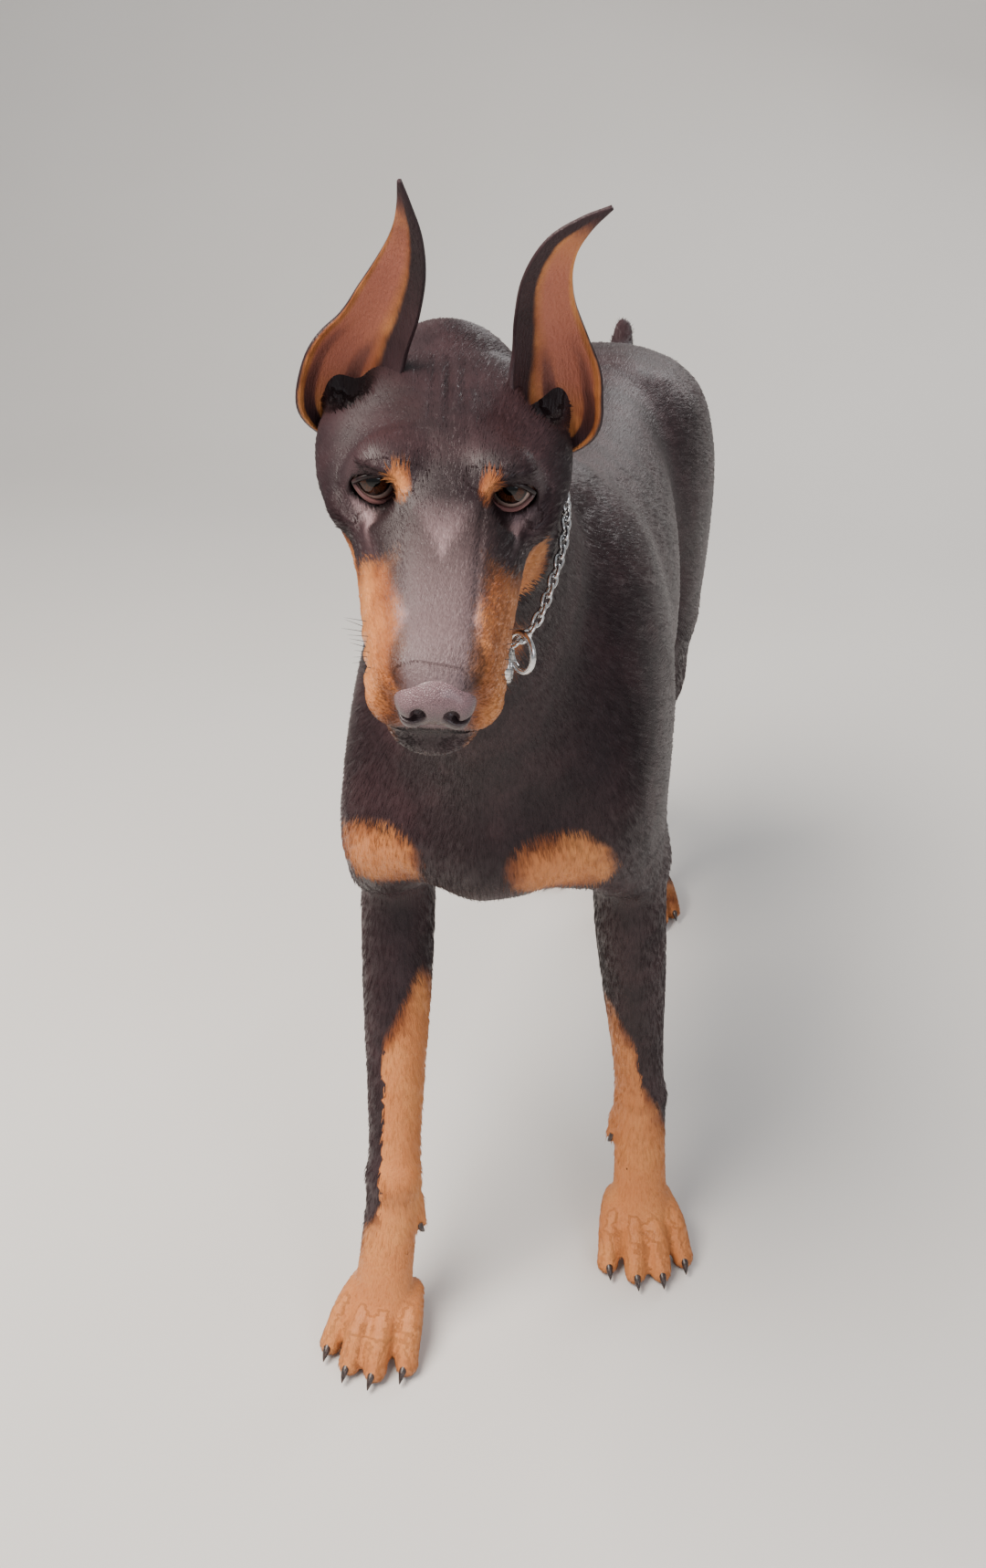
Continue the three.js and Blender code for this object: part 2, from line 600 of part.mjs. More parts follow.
// Where the nodes part
const neckPlace = (rise, up = 0) => add(NECK_FROM, mul(NECK[1], rise), mul(NECK[2], up));
const neckBase = [neckPlace(98), NECK[1]];
const neckTop = [neckPlace(246), NECK[1]];
const tailRoot = [[0, 313, 644], unit([0, 0.75, 0.66])];
const tailBox = [tailRoot, [[-30, 320, 640], [1, 0, 0]], [[30, 320, 640], [-1, 0, 0]]];

const neckRegion = [neckBase, flip(neckTop)];
const headRegion = [neckTop];
const floorCut = halfSpace([0, 0, FLOOR], [0, 0, -1]);

// A foreleg parts from the trunk under the elbow, clear of the brisket between and behind it
const elbowPlanes = ({ s, elbow }) => [
  [[0, 0, elbow[2] + 8], [0, 0, -1]],
  [[s * 45, 0, 0], [s, 0, 0]],
  [[0, elbow[1] + 62, 0], [0, -1, 0]],
];
const thighPlanes = ({ s, hip }) => [
  [[s * 9, 0, 462], unit([s * 0.72, 0, -0.69])],
  [[s * 9, 0, 0], [s, 0, 0]],
  [[0, hip[1] - 104, 0], [0, 1, 0]],
];
const stiflePlane = ({ stifle }) => [add(stifle, [0, 50, -26]), unit([0, 0.42, -0.91])];
const carpusPlane = ({ carpus }) => [add(carpus, [0, 0, -8]), [0, 0, -1]];
const hockPlane = ({ hock }) => [add(hock, [0, 0, -28]), [0, 0, -1]];

const limbRegions = [
  ...Object.values(FORELEGS).map(elbowPlanes),
  ...Object.values(HINDLEGS).map(thighPlanes),
  neckRegion,
  tailBox,
];
const inRegion = (planes) => (net) => net.intersect(regionOf(planes));
const clearances = [...limbRegions, headRegion].map((planes) => regionOf(planes, GAP));
const trunkOnly = (net) => without(net, ...clearances);
addNode('torso', netted(skin, [-132, -345, 330], [132, 352, 690], STEP.torso, trunkOnly), COLOURS.coat);
const NECK_BOX = [[-80, -470, 490], [90, -150, 830]];
addNode('neck', netted(skin, ...NECK_BOX, STEP.neck, inRegion(neckRegion)), COLOURS.coat);
addNode('tail', netted(skin, [-30, 295, 615], [30, 350, 690], STEP.tail, inRegion(tailBox)), COLOURS.coat);

// A curved, tapering claw at the end of a toe
function clawSolid(tip, ahead, size) {
  const points = [];
  const path = [[-6, 3], [0, 3.2], [5, 0.6], [8.5, -3.6]];
  const widths = [3.4, 3.3, 2.4, 0.7];
  const side = [ahead[1], -ahead[0], 0];
  const rounds = 5;
  for (let i = 0; i < path.length; i++) {
    for (let j = 0; j < rounds; j++) {
      const angle = j / rounds * 2 * Math.PI;
      const out = Math.cos(angle) * widths[i] * 0.8 * size;
      const up = Math.sin(angle) * widths[i] * size;
      const rise = [0, 0, path[i][1] * size + up];
      points.push(...add(tip, mul(ahead, path[i][0] * size), mul(side, out), rise));
    }
  }
  return solidFrom(tubeGeometry(points, path.length, rounds, false));
}

// Rings of points joined to a tube: closed into a loop, or capped at both ends
function tubeGeometry(points, rings, rounds, loop) {
  const index = [];
  const last = loop ? rings : rings - 1;
  for (let i = 0; i < last; i++) {
    for (let j = 0; j < rounds; j++) {
      const next = (i + 1) % rings;
      const [a, b] = [i * rounds + j, i * rounds + (j + 1) % rounds];
      const [d, c] = [next * rounds + j, next * rounds + (j + 1) % rounds];
      index.push(a, b, c, a, c, d);
    }
  }
  if (!loop) {
    for (let j = 1; j < rounds - 1; j++) {
      index.push(0, j + 1, j);
      const end = (rings - 1) * rounds;
      index.push(end, end + j, end + j + 1);
    }
  }
  const geometry = new THREE.BufferGeometry();
  geometry.setAttribute('position', new THREE.BufferAttribute(new Float32Array(points), 3));
  geometry.setIndex(index);
  return geometry;
}

function pawNode(name, { ahead, side, knuckles }, size, spread, box, plane) {
  const claws = TOES.map((toe) => {
    const [, , , tip] = toePath(knuckles, ahead, side, size, spread, toe);
    return clawSolid(add(tip, mul(ahead, 7)), ahead, 1);
  });
  const shape = (net) => {
    const paw = net.intersect(regionOf([plane]));
    return claws.reduce((a, b) => a.add(b), paw).subtract(floorCut);
  };
  addNode(name, netted(skin, ...box, STEP.paw, shape), COLOURS.rust);
}

for (const [name, leg] of Object.entries(FORELEGS)) {
  const { elbow, carpus, toes } = leg;
  const low = [Math.min(elbow[0], carpus[0]) - 50, Math.min(elbow[1], carpus[1]) - 60, carpus[2] - 30];
  const high = [Math.max(elbow[0], carpus[0]) + 50, Math.max(elbow[1], carpus[1]) + 70, elbow[2] + 30];
  const cut = carpusPlane(leg);
  const upper = inRegion([...elbowPlanes(leg), flip(cut)]);
  addNode(`fore_leg_${name}`, netted(skin, low, high, STEP.leg, upper), COLOURS.coat);
  const frame = pawFrame(carpus, toes, 44);
  const box = [
    [Math.min(carpus[0], toes[0]) - 50, toes[1] - 20, -8],
    [Math.max(carpus[0], toes[0]) + 50, carpus[1] + 45, carpus[2] + 14],
  ];
  pawNode(`fore_paw_${name}`, frame, 1, 1, box, [add(cut[0], [0, 0, -GAP]), cut[1]]);
}

for (const [name, leg] of Object.entries(HINDLEGS)) {
  const { s, hip, stifle, hock, toes } = leg;
  const stifleCut = stiflePlane(leg);
  const hockCut = hockPlane(leg);
  const edge = s > 0 ? [4, 125] : [-125, -4];
  const thighBox = [[edge[0], hip[1] - 120, stifle[2] - 80], [edge[1], hip[1] + 160, 660]];
  const thigh = inRegion([...thighPlanes(leg), flip(stifleCut)]);
  addNode(`hind_thigh_${name}`, netted(skin, ...thighBox, STEP.thigh, thigh), COLOURS.coat);
  const low = [Math.min(stifle[0], hock[0]) - 50, stifle[1] - 40, hock[2] - 50];
  const high = [Math.max(stifle[0], hock[0]) + 50, hock[1] + 55, stifle[2] + 20];
  const shankCut = [add(stifleCut[0], mul(stifleCut[1], GAP)), stifleCut[1]];
  const shank = inRegion([shankCut, flip(hockCut)]);
  addNode(`hind_shank_${name}`, netted(skin, low, high, STEP.leg, shank), COLOURS.coat);
  const frame = pawFrame(hock, toes, 42);
  const box = [
    [Math.min(hock[0], toes[0]) - 45, toes[1] - 20, -8],
    [Math.max(hock[0], toes[0]) + 45, hock[1] + 40, hock[2] - 10],
  ];
  pawNode(`hind_paw_${name}`, frame, 0.88, 0.6, box, [add(hockCut[0], [0, 0, -GAP]), hockCut[1]]);
}

// Ears: cropped, upright sheets round a spine.
// Rows in the head's frame: x, y, z, bow radius, half angle, thickness
const EARS = {
  left: [
    [43, 68, -34, 12, 66, 6],
    [48, 74, -14, 20, 96, 6], [47, 76, 6, 22, 84, 5.4],
    [45, 76, 26, 26, 48, 4.8], [41.5, 74, 46, 26, 35, 4.2],
    [41, 71, 64, 26, 28, 3.8], [45.5, 69, 80, 26, 20, 3.4],
    [55, 68, 92, 26, 10, 3], [66, 68, 101, 26, 2, 2.4],
  ],
  right: [
    [-42, 68, -34, 12, 66, 6],
    [-45, 74, -14, 20, 96, 6], [-43, 76, 6, 22, 84, 5.4],
    [-35, 76, 26, 25, 47, 4.8], [-28, 74, 46, 26, 36, 4.2],
    [-23.5, 71, 64, 26, 27, 3.8], [-22, 69, 80, 26, 17, 3.4],
    [-23.5, 68, 94, 26, 8, 3], [-26, 68, 106, 26, 2, 2.4],
  ],
};
const EAR_OPENS = { left: [0.3, -0.94, 0.05], right: [-0.3, -0.94, 0.05] };
function earSolid(rows, opens) {
  const path = smoothRows(rows, 2);
  const cells = 5;
  const points = [];
  for (let i = 0; i < path.length; i++) {
    const [x, y, z, bow, angle, thick] = path[i];
    const [before, after] = [path[Math.max(i - 1, 0)], path[Math.min(i + 1, path.length - 1)]];
    const axis = unit([0, 1, 2].map((k) => after[k] - before[k]));
    const open = unit(add(opens, mul(axis, -dot(opens, axis))));
    const side = cross(axis, open);
    const ring = [];
    for (const [sign, from, to] of [[1, -1, 1], [-1, 1, -1]]) {
      for (let j = 0; j <= cells; j++) {
        const a = rad(angle) * (from + (to - from) * j / cells);
        const edge = 1 - 0.5 * Math.abs(a / rad(angle)) ** 4;
        const r = bow + sign * thick / 2 * edge;
        ring.push(add([x, y, z], mul(side, r * Math.sin(a)), mul(open, bow - r * Math.cos(a))));
      }
    }
    points.push(...ring.flatMap((p) => onHead(...p)));
  }
  return solidFrom(tubeGeometry(points, path.length, 2 * cells + 2, false));
}

// Head: the net, the eye openings and the groove of the mouth
const headBox = [[-75, -605, 640], [100, -295, 830]];
const ball = (at, radii, detail = [12, 9], turn = 0) => {
  const g = new THREE.SphereGeometry(1, ...detail);
  g.scale(...radii);
  g.rotateZ(rad(turn));
  g.translate(...at);
  g.applyMatrix4(headMatrix);
  g.translate(...HEAD_AT.toArray());
  return solidFrom(g);
};
const NOSE_AT = [0, -112, -18];
const NOSE_R = [16, 11, 12.5];
const eyeAt = (s) => [s * EYE_AT[0], EYE_AT[1], EYE_AT[2]];
const aperture = (s) => ball(add(eyeAt(s), [s * 3, -13, 0.5]), [10.5, 9, 6.2], [12, 8], -s * 20);

// The mouth: a sheet that follows the line of the lips, kept to the outer few millimetres
const LIPS = [[-125, -39], [-108, -41], [-80, -44], [-48, -47], [-26, -49]];
const LIP_GROOVE = 2.2;
const LIP_DEPTH = 4.5;
function mouthSheet() {
  const shape = new THREE.Shape();
  const upper = LIPS.map(([y, z]) => [y, z + LIP_GROOVE / 2]);
  shape.moveTo(...upper[0]);
  for (const corner of upper.slice(1)) shape.lineTo(...corner);
  [...LIPS].reverse().forEach(([y, z]) => shape.lineTo(y, z - LIP_GROOVE / 2));
  const g = new THREE.ExtrudeGeometry(shape, { depth: 120, bevelEnabled: false });
  g.translate(0, 0, -60);
  g.applyMatrix4(new THREE.Matrix4().makeBasis(V(0, 1, 0), V(0, 0, 1), V(1, 0, 0)));
  g.applyMatrix4(headMatrix);
  g.translate(...HEAD_AT.toArray());
  return solidFrom(g);
}
const core = netted(skin, ...headBox, STEP.head, undefined, -LIP_DEPTH);
const groove = mouthSheet().subtract(core);

const eyes = { left: eyeAt(1), right: eyeAt(-1) };
const headShape = (net) => {
  const own = net.intersect(regionOf(headRegion.map(([p, n]) => [add(p, mul(n, GAP)), n])));
  const room = [EYE_R + GAP, EYE_R + GAP, EYE_R + GAP];
  const sockets = [1, -1].flatMap((s) => [ball(eyeAt(s), room), aperture(s)]);
  return without(own, groove, ball(NOSE_AT, NOSE_R.map((r) => r + GAP), [12, 10]), ...sockets);
};
addNode('head', netted(skin, ...headBox, STEP.head, headShape), COLOURS.coat);

let nose = ball(NOSE_AT, NOSE_R, [12, 10]);
for (const s of [1, -1]) {
  const nostril = ball([s * 7, -123, -19], [3.6, 6, 3.8], [8, 6]);
  const slit = ball([s * 12, -117, -21], [5, 5, 1.6], [8, 6], s * 30);
  nose = without(nose, nostril, slit);
}
addNode('nose', nose, COLOURS.nose, 0.45);

const clearOfHead = netted(skin, ...headBox, STEP.head, undefined, GAP + 0.15);
for (const [name, at] of Object.entries(eyes)) {
  addNode(`eye_${name}`, ball(at, [EYE_R, EYE_R, EYE_R]), COLOURS.eye, 0.12);
}
for (const [name, rows] of Object.entries(EARS)) {
  addNode(`ear_${name}`, earSolid(rows, EAR_OPENS[name]).subtract(clearOfHead), COLOURS.ear);
}

// The chain collar lies round the neck, found by walking out from its axis to the skin
const COLLAR_RISE = 196;
const COLLAR_TILT = 0.16;
const SLACK_AT = -118;
function collarPoint(angle, off) {
  const out = add(mul(NECK[0], Math.cos(rad(angle))), mul(NECK[2], Math.sin(rad(angle))));
  const centre = neckPlace(COLLAR_RISE - COLLAR_TILT * 60 * Math.sin(rad(angle)), 2);
  let [near, far] = [10, 120];
  for (let i = 0; i < 24; i++) {
    const middle = (near + far) / 2;
    if (skin(add(centre, mul(out, middle))) < off) near = middle;
    else far = middle;
  }
  return add(centre, mul(out, far));
}
const fromSlack = (angle) => ((angle - SLACK_AT + 540) % 360 - 180) / 22;
const slack = (angle) => 1.2 + CHAIN_R + 9 * Math.exp(-1 * fromSlack(angle) ** 2);
function collarSolid() {
  const rings = CHAIN_BEADS * 4;
  const rounds = 5;
  const angles = Array.from({ length: rings }, (_, i) => 360 * i / rings - 180);
  const path = angles.map((angle) => collarPoint(angle, slack(angle)));
  const centre = mul(path.reduce((a, b) => add(a, b)), 1 / rings);
  const points = [];
  path.forEach((p, i) => {
    const [before, after] = [path[(i + rings - 1) % rings], path[(i + 1) % rings]];
    const axis = unit(add(after, mul(before, -1)));
    const outward = add(p, mul(centre, -1));
    const out = unit(add(outward, mul(axis, -dot(outward, axis))));
    const side = cross(axis, out);
    const r = CHAIN_R * (i % 2 ? 0.62 : 1);
    for (let j = 0; j < rounds; j++) {
      const a = j / rounds * 2 * Math.PI;
      points.push(...add(p, mul(out, r * Math.cos(a)), mul(side, r * Math.sin(a))));
    }
  });
  return solidFrom(tubeGeometry(points, rings, rounds, true));
}
const clearOfNeck = netted(skin, ...NECK_BOX, STEP.neck, undefined, GAP + 0.15);
addNode('collar_chain', without(collarSolid(), clearOfNeck, clearOfHead), COLOURS.steel, 0.25, 1);

// The ring at the chain's end hangs round its slack
const RING_R = 10.5;
const RING_WIRE = 1.9;
function ringSolid() {
  const g = new THREE.TorusGeometry(RING_R, RING_WIRE, 6, 16);
  const [a, b] = [collarPoint(SLACK_AT - 2, slack(SLACK_AT)), collarPoint(SLACK_AT + 2, slack(SLACK_AT))];
  const axis = V(...unit(add(b, mul(a, -1))));
  g.applyQuaternion(new THREE.Quaternion().setFromUnitVectors(V(0, 0, 1), axis));
  const drop = RING_R - RING_WIRE - CHAIN_R - 0.6;
  const hang = collarPoint(SLACK_AT, slack(SLACK_AT) + drop);
  g.translate(...hang);
  return solidFrom(g);
}
addNode('collar_ring', without(ringSolid(), clearOfNeck), COLOURS.steel, 0.25, 1);

// The origin is the middle of the box round the whole dog, at the floor
const bounds = new THREE.Box3().setFromObject(group);
group.position.set(-(bounds.min.x + bounds.max.x) / 2, -(bounds.min.y + bounds.max.y) / 2, -bounds.min.z);
group.updateMatrixWorld(true);

export default group;
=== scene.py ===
"""Looks of a standing doberman pinscher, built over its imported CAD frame.

The skin is the level surface of one smooth field, made of the same named forms as the solids, in
millimetres. Legs, ears and muzzle branch from the trunk, so the skin can't be one sheet of two
parameters: it is netted from the field as whole arrays instead. Lids, claws, nose, whiskers, coat
and collar are surfaces of two parameters.
"""
from functools import partial

import bpy
import numpy as np
from mathutils import Matrix, Vector


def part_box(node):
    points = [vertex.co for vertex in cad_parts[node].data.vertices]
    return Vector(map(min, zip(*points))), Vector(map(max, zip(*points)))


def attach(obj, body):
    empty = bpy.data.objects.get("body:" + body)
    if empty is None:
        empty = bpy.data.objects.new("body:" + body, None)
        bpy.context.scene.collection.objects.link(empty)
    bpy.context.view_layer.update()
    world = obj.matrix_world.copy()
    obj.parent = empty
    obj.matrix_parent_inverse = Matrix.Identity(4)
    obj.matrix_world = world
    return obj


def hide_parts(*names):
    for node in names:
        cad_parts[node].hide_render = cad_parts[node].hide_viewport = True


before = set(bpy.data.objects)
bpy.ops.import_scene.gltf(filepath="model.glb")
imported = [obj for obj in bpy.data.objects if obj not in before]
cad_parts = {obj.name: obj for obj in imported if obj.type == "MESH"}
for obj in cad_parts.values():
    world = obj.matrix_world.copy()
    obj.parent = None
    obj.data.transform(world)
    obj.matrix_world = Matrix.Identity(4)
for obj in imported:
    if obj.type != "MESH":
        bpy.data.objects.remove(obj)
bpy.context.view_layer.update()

bl_info = {
    "name": "Doberman pinscher",
    "version": (1, 0, 0),
    "blender": (4, 5, 0),
    "location": "View3D > Sidebar > Dog",
    "description": "Builds the coat, face, collar and stage of a standing doberman pinscher",
    "category": "Add Mesh",
}

MM = 0.001
SIDES = {"left": 1, "right": -1}
WITHERS = 670.0                                 # height over the floor, mm
SPINE = WITHERS - 10                            # height from which shoulders and thighs are measured down, mm
EYE_AT = np.array([31.5, 4.0, -1.0])            # left eyeball in the head's frame, mm
LOOKS_AT = np.array([110.0, -1047.0, 850.0])    # the place before the dog that both eyes look at, mm


# Turning and placing

def vec(*values):
    return np.array(values, float)


def unit(v):
    v = np.asarray(v, float)
    return v / np.linalg.norm(v)


def turn(axis, degrees):
    """The matrix of a right-handed turn about x, y or z."""
    return np.array(Matrix.Rotation(np.radians(degrees), 3, axis.upper()))


HEAD_AT = vec(17, -454, 746)
HEAD_TURN = turn("z", 12) @ turn("x", 23.5) @ turn("y", 4.5)
DOWN = np.column_stack([vec(1, 0, 0), vec(0, 0, -1), vec(0, 1, 0)])


def on_head(p):
    """Head coordinates to dog coordinates, mm."""
    return HEAD_AT + np.asarray(p, float) @ HEAD_TURN.T


def in_head(p):
    """Dog coordinates to head coordinates, mm."""
    return (p - HEAD_AT) @ HEAD_TURN


# The CAD frame is the dog's frame moved: one eyeball gives the move
_low, _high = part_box("eye_left")
SHIFT = (np.array(_low) + np.array(_high)) / 2 / MM - on_head(EYE_AT)


def to_frame(p):
    """Dog coordinates in mm to the row frame in metres."""
    return (np.asarray(p) + SHIFT) * MM


# The field

def join_smooth(a, b, blend):
    """The lesser of two distances, with a rounded valley as wide as the blend."""
    if blend <= 0:
        return np.minimum(a, b)
    h = np.clip(0.5 + 0.5 * (b - a) / blend, 0, 1)
    return b * (1 - h) + a * h - blend * h * (1 - h)


def smooth_rows(rows, steps):
    """Rows of numbers carried through a Catmull-Rom curve, some steps from row to row."""
    rows = np.array(rows, float)
    padded = np.vstack([2 * rows[0] - rows[1], rows, 2 * rows[-1] - rows[-2]])
    a, b, c, d = (padded[k:len(padded) - 3 + k, None] for k in range(4))
    t = (np.arange(steps) / steps)[None, :, None]
    curve = 0.5 * (2 * b + (c - a) * t + (2 * a - 5 * b + 4 * c - d) * t ** 2
                   + (3 * b - a - 3 * c + d) * t ** 3)
    return np.vstack([curve.reshape(-1, rows.shape[1]), rows[-1:]])


class Egg:
    """An ellipsoid: distance near its surface from the two norms of its scaled coordinates."""

    def __init__(self, at, radii, blend, axes=None, cut=False):
        self.at, self.radii, self.blend, self.cut = np.array(at, float), np.array(radii, float), blend, cut
        self.axes = np.eye(3) if axes is None else axes

    def dist(self, p):
        q = (p - self.at) @ self.axes
        k0 = np.linalg.norm(q / self.radii, axis=-1)
        k1 = np.linalg.norm(q / self.radii ** 2, axis=-1)
        return np.where(k0 > 1e-6, k0 * (k0 - 1) / np.maximum(k1, 1e-9), -self.radii.min())


class Limb:
    """An oval section carried along a path. Rows: x, y, z, half depth, half width along side."""

    def __init__(self, rows, side, blend, steps=3, cut=False):
        self.path = smooth_rows(rows, steps) if len(rows) > 2 and steps > 1 else np.array(rows, float)
        self.side, self.blend, self.cut = unit(side), blend, cut

    def dist(self, p):
        best = None
        for a, b in zip(self.path[:-1], self.path[1:]):
            along = b[:3] - a[:3]
            t = np.clip(((p - a[:3]) @ along) / (along @ along), 0, 1)
            off = p - a[:3] - t[..., None] * along
            deep, wide = (a[k] + (b[k] - a[k]) * t for k in (3, 4))
            lateral = off @ self.side
            full = np.sqrt((off * off).sum(-1))
            e = np.sqrt((lateral / wide) ** 2 + np.maximum(full ** 2 - lateral ** 2, 0) / deep ** 2)
            d = np.where(e > 1e-6, full * (1 - 1 / np.maximum(e, 1e-6)), -np.minimum(deep, wide))
            best = d if best is None else np.minimum(best, d)
        return best


def column(rows, k, x):
    """One column of the rows as a smooth curve over the first column: cubic pieces with mean slopes."""
    xs, ys = rows[:, 0], rows[:, k]
    slope = np.empty(len(xs))
    slope[1:-1] = (ys[2:] - ys[:-2]) / (xs[2:] - xs[:-2])
    slope[0], slope[-1] = (ys[1] - ys[0]) / (xs[1] - xs[0]), (ys[-1] - ys[-2]) / (xs[-1] - xs[-2])
    i = np.clip(np.searchsorted(xs, x) - 1, 0, len(xs) - 2)
    w = xs[i + 1] - xs[i]
    t = np.clip((x - xs[i]) / w, 0, 1)
    return ((2 * t ** 3 - 3 * t ** 2 + 1) * ys[i] + (t ** 3 - 2 * t ** 2 + t) * w * slope[i]
            + (3 * t ** 2 - 2 * t ** 3) * ys[i + 1] + (t ** 3 - t ** 2) * w * slope[i + 1])


class Hull:
    """A body lofted along its second axis with egg-shaped sections and round ends.

    Rows: place along, centre across, far edge, near edge, half width, where it is widest."""

    def __init__(self, rows, blend, far=2.2, near=2.0, axes=None, origin=(0, 0, 0), end=30):
        self.rows, self.blend, self.cut = np.array(rows, float), blend, False
        self.far, self.near, self.end = far, near, end
        self.axes = np.eye(3) if axes is None else axes
        self.origin = np.array(origin, float)

    def dist(self, p):
        q = (p - self.origin) @ self.axes
        first, last = self.rows[0, 0], self.rows[-1, 0]
        s = np.clip(q[..., 1], first, last)
        centre, top, low, width, widest = (column(self.rows, k, s) for k in range(1, 6))
        x, z = np.abs(q[..., 0] - centre), q[..., 2] - widest
        half = np.where(z > 0, top - widest, widest - low)
        n = np.where(z > 0, self.far, self.near)
        r = ((x / width) ** n + (np.abs(z) / half) ** n) ** (1 / n)
        radial = np.where(r > 1e-3, np.hypot(x, z) * (1 - 1 / np.maximum(r, 1e-3)), -np.minimum(width, half))
        return -join_smooth(-radial, -np.maximum(first - q[..., 1], q[..., 1] - last), self.end)


def torso_forms():
    """The trunk, with the shoulders, breast, withers and the flesh between the thighs."""
    trunk = [
        (-300, -4, 575, 420, 50, 480), (-250, -3, 632, 378, 74, 492), (-190, -2, 666, 352, 88, 500),
        (-120, 0, 664, 345, 97, 505), (-40, 0, 656, 360, 99, 512), (40, 0, 656, 390, 91, 525),
        (110, 0, 663, 424, 76, 550), (180, 0, 669, 452, 72, 575), (250, 0, 664, 478, 66, 580),
        (318, 0, 632, 525, 44, 585)]
    forms = [Hull(trunk, 0, 2.2, 1.9, end=45)]
    for s in (1, -1):
        g = 0 if s > 0 else -1              # the right shoulder is swung forward with its leg
        shoulder = [
            (0, 30, -135, -205, 16, -170), (35, 44, -118, -238, 34, -175), (75, 52, -104, -268, 42, -182),
            (115, 57, -96, -286 + g * 6, 47, -190), (155, 62, -96, -298 + g * 8, 48, -200),
            (190, 66, -104, -298 + g * 14, 46, -206 + g * 10),
            (225, 72, -122 + g * 6, -282 + g * 24, 40, -205 + g * 20),
            (260, 79, -143 + g * 14, -256 + g * 32, 34, -198 + g * 26),
            (290, 84, -156 + g * 22, -228 + g * 32, 29, -190 + g * 28)]
        rows = [(down, s * x, *rest) for down, x, *rest in shoulder]
        forms.append(Hull(rows, 34, 2.3, 2.3, DOWN, (0, 0, SPINE)))
        breast = [(0, -294, 456, 30, 34), (s * 30 - 3, -286, 452, 33, 28),
                  (s * 58 - 3, -262 + g * 8, 442, 30, 28)]
        forms.append(Limb(breast, (0, 0, 1), 30, 1))
    forms.append(Limb([(0, -200, 656, 14, 14), (0, -150, 656, 14, 12)], (1, 0, 0), 34, 1))
    crotch = [(40, 0, 300, 200, 46, 250), (100, 0, 322, 190, 44, 255), (150, 0, 322, 190, 36, 255),
              (190, 0, 300, 200, 26, 250)]
    forms.append(Hull(crotch, 30, axes=DOWN, origin=(0, 0, SPINE), end=24))
    return forms


NECK_FROM = vec(0, -190, 560)
NECK_UP = unit((0.02, -0.77, 0.64))
NECK_SIDE = unit(np.cross(NECK_UP, (0, 0.64, 0.77)))
NECK_CREST = np.cross(NECK_SIDE, NECK_UP)
NECK = np.column_stack([NECK_SIDE, NECK_UP, NECK_CREST])


def rise_of(p):
    """How far up the neck's axis points lie, mm."""
    return (p - NECK_FROM) @ NECK_UP


def neck_forms():
    """The neck rises forward from the withers; its third axis points to the crest."""
    rows = [(0, 0, 84, -148, 66, -20), (30, 0, 88, -150, 66, -20), (70, 0, 82, -130, 61, -14),
            (120, 0, 74, -106, 55, -8), (170, 1, 68, -82, 51, -4), (226, 3, 65, -60, 49, 0),
            (275, 5, 56, -48, 46, 4)]
    return [Hull(rows, 40, 2.1, 2.0, NECK, NECK_FROM)]


# Each toe's place across the paw, and how far its tip leads, mm
TOES = ((-1.5, -10), (-0.5, 3), (0.5, 3), (1.5, -10))
UP = vec(0, 0, 1)
# A paw's length before its knuckles in mm, its size and its spread
PAWS = {"fore": (44, 1.0, 1.0), "hind": (42, 0.88, 0.6)}


def toe_path(knuckles, ahead, side, size, spread, toe):
    """Root, knee, middle and tip of one arched toe, set out across the paw and fanned a little."""
    a, lead = toe
    fan = side * a * 3.5 * spread
    places = ((13, lead * 0.5 - 12, 36, 0), (16.5, 14 + lead, 29, 0.4), (17.5, 29 + lead, 17, 0.7),
              (18, 36 + lead, 9.5, 1))
    return [knuckles + side * a * out * size + ahead * forward + fan * part + UP * height
            for out, forward, height, part in places]


def paw_forms(knuckles, ahead, side, kind):
    """Four arched toes in front of the knuckles, and the pad behind them."""
    _, size, spread = PAWS[kind]
    forms = []
    for i, toe in enumerate(TOES):
        root, knee, middle, tip = toe_path(knuckles, ahead, side, size, spread, toe)
        rows = [(*root, 14, 11), (*knee, 13, 10.5), (*middle, 11.5, 10.2), (*tip, 10.3, 9.6)]
        forms.append(Limb(rows, side, 5 if i else 12))
    axes = np.column_stack([side, ahead, UP])
    forms.append(Egg(knuckles - ahead * 10 + UP * 13, (23 * size, 20, 14), 8, axes))
    return forms


def paw_frame(start, toes, kind):
    """The floor point under a paw's knuckles, the way it points and its side."""
    ahead = unit((np.array(toes) - np.array(start)) * vec(1, 1, 0))
    side = vec(-ahead[1], ahead[0], 0)
    side = side if side[0] > 0 else -side
    return (np.array(toes, float) - ahead * PAWS[kind][0]) * vec(1, 1, 0), ahead, side


# Each leg's side and its joints, mm: elbow, carpus and toes, or hip, stifle, hock and toes
FORELEGS = {
    "left": (1, vec(86, -186, 362), vec(104, -166, 142), vec(128, -242, 0)),
    "right": (-1, vec(-86, -212, 352), vec(-73, -298, 140), vec(-82, -382, 0))}
HINDLEGS = {
    "left": (1, vec(70, 205, 560), vec(68, 148, 372), vec(38, 362, 188), vec(75, 272, 0)),
    "right": (-1, vec(-70, 212, 558), vec(-74, 172, 368), vec(-50, 412, 186), vec(-72, 330, 0))}
LEGS = {"fore": FORELEGS, "hind": HINDLEGS}


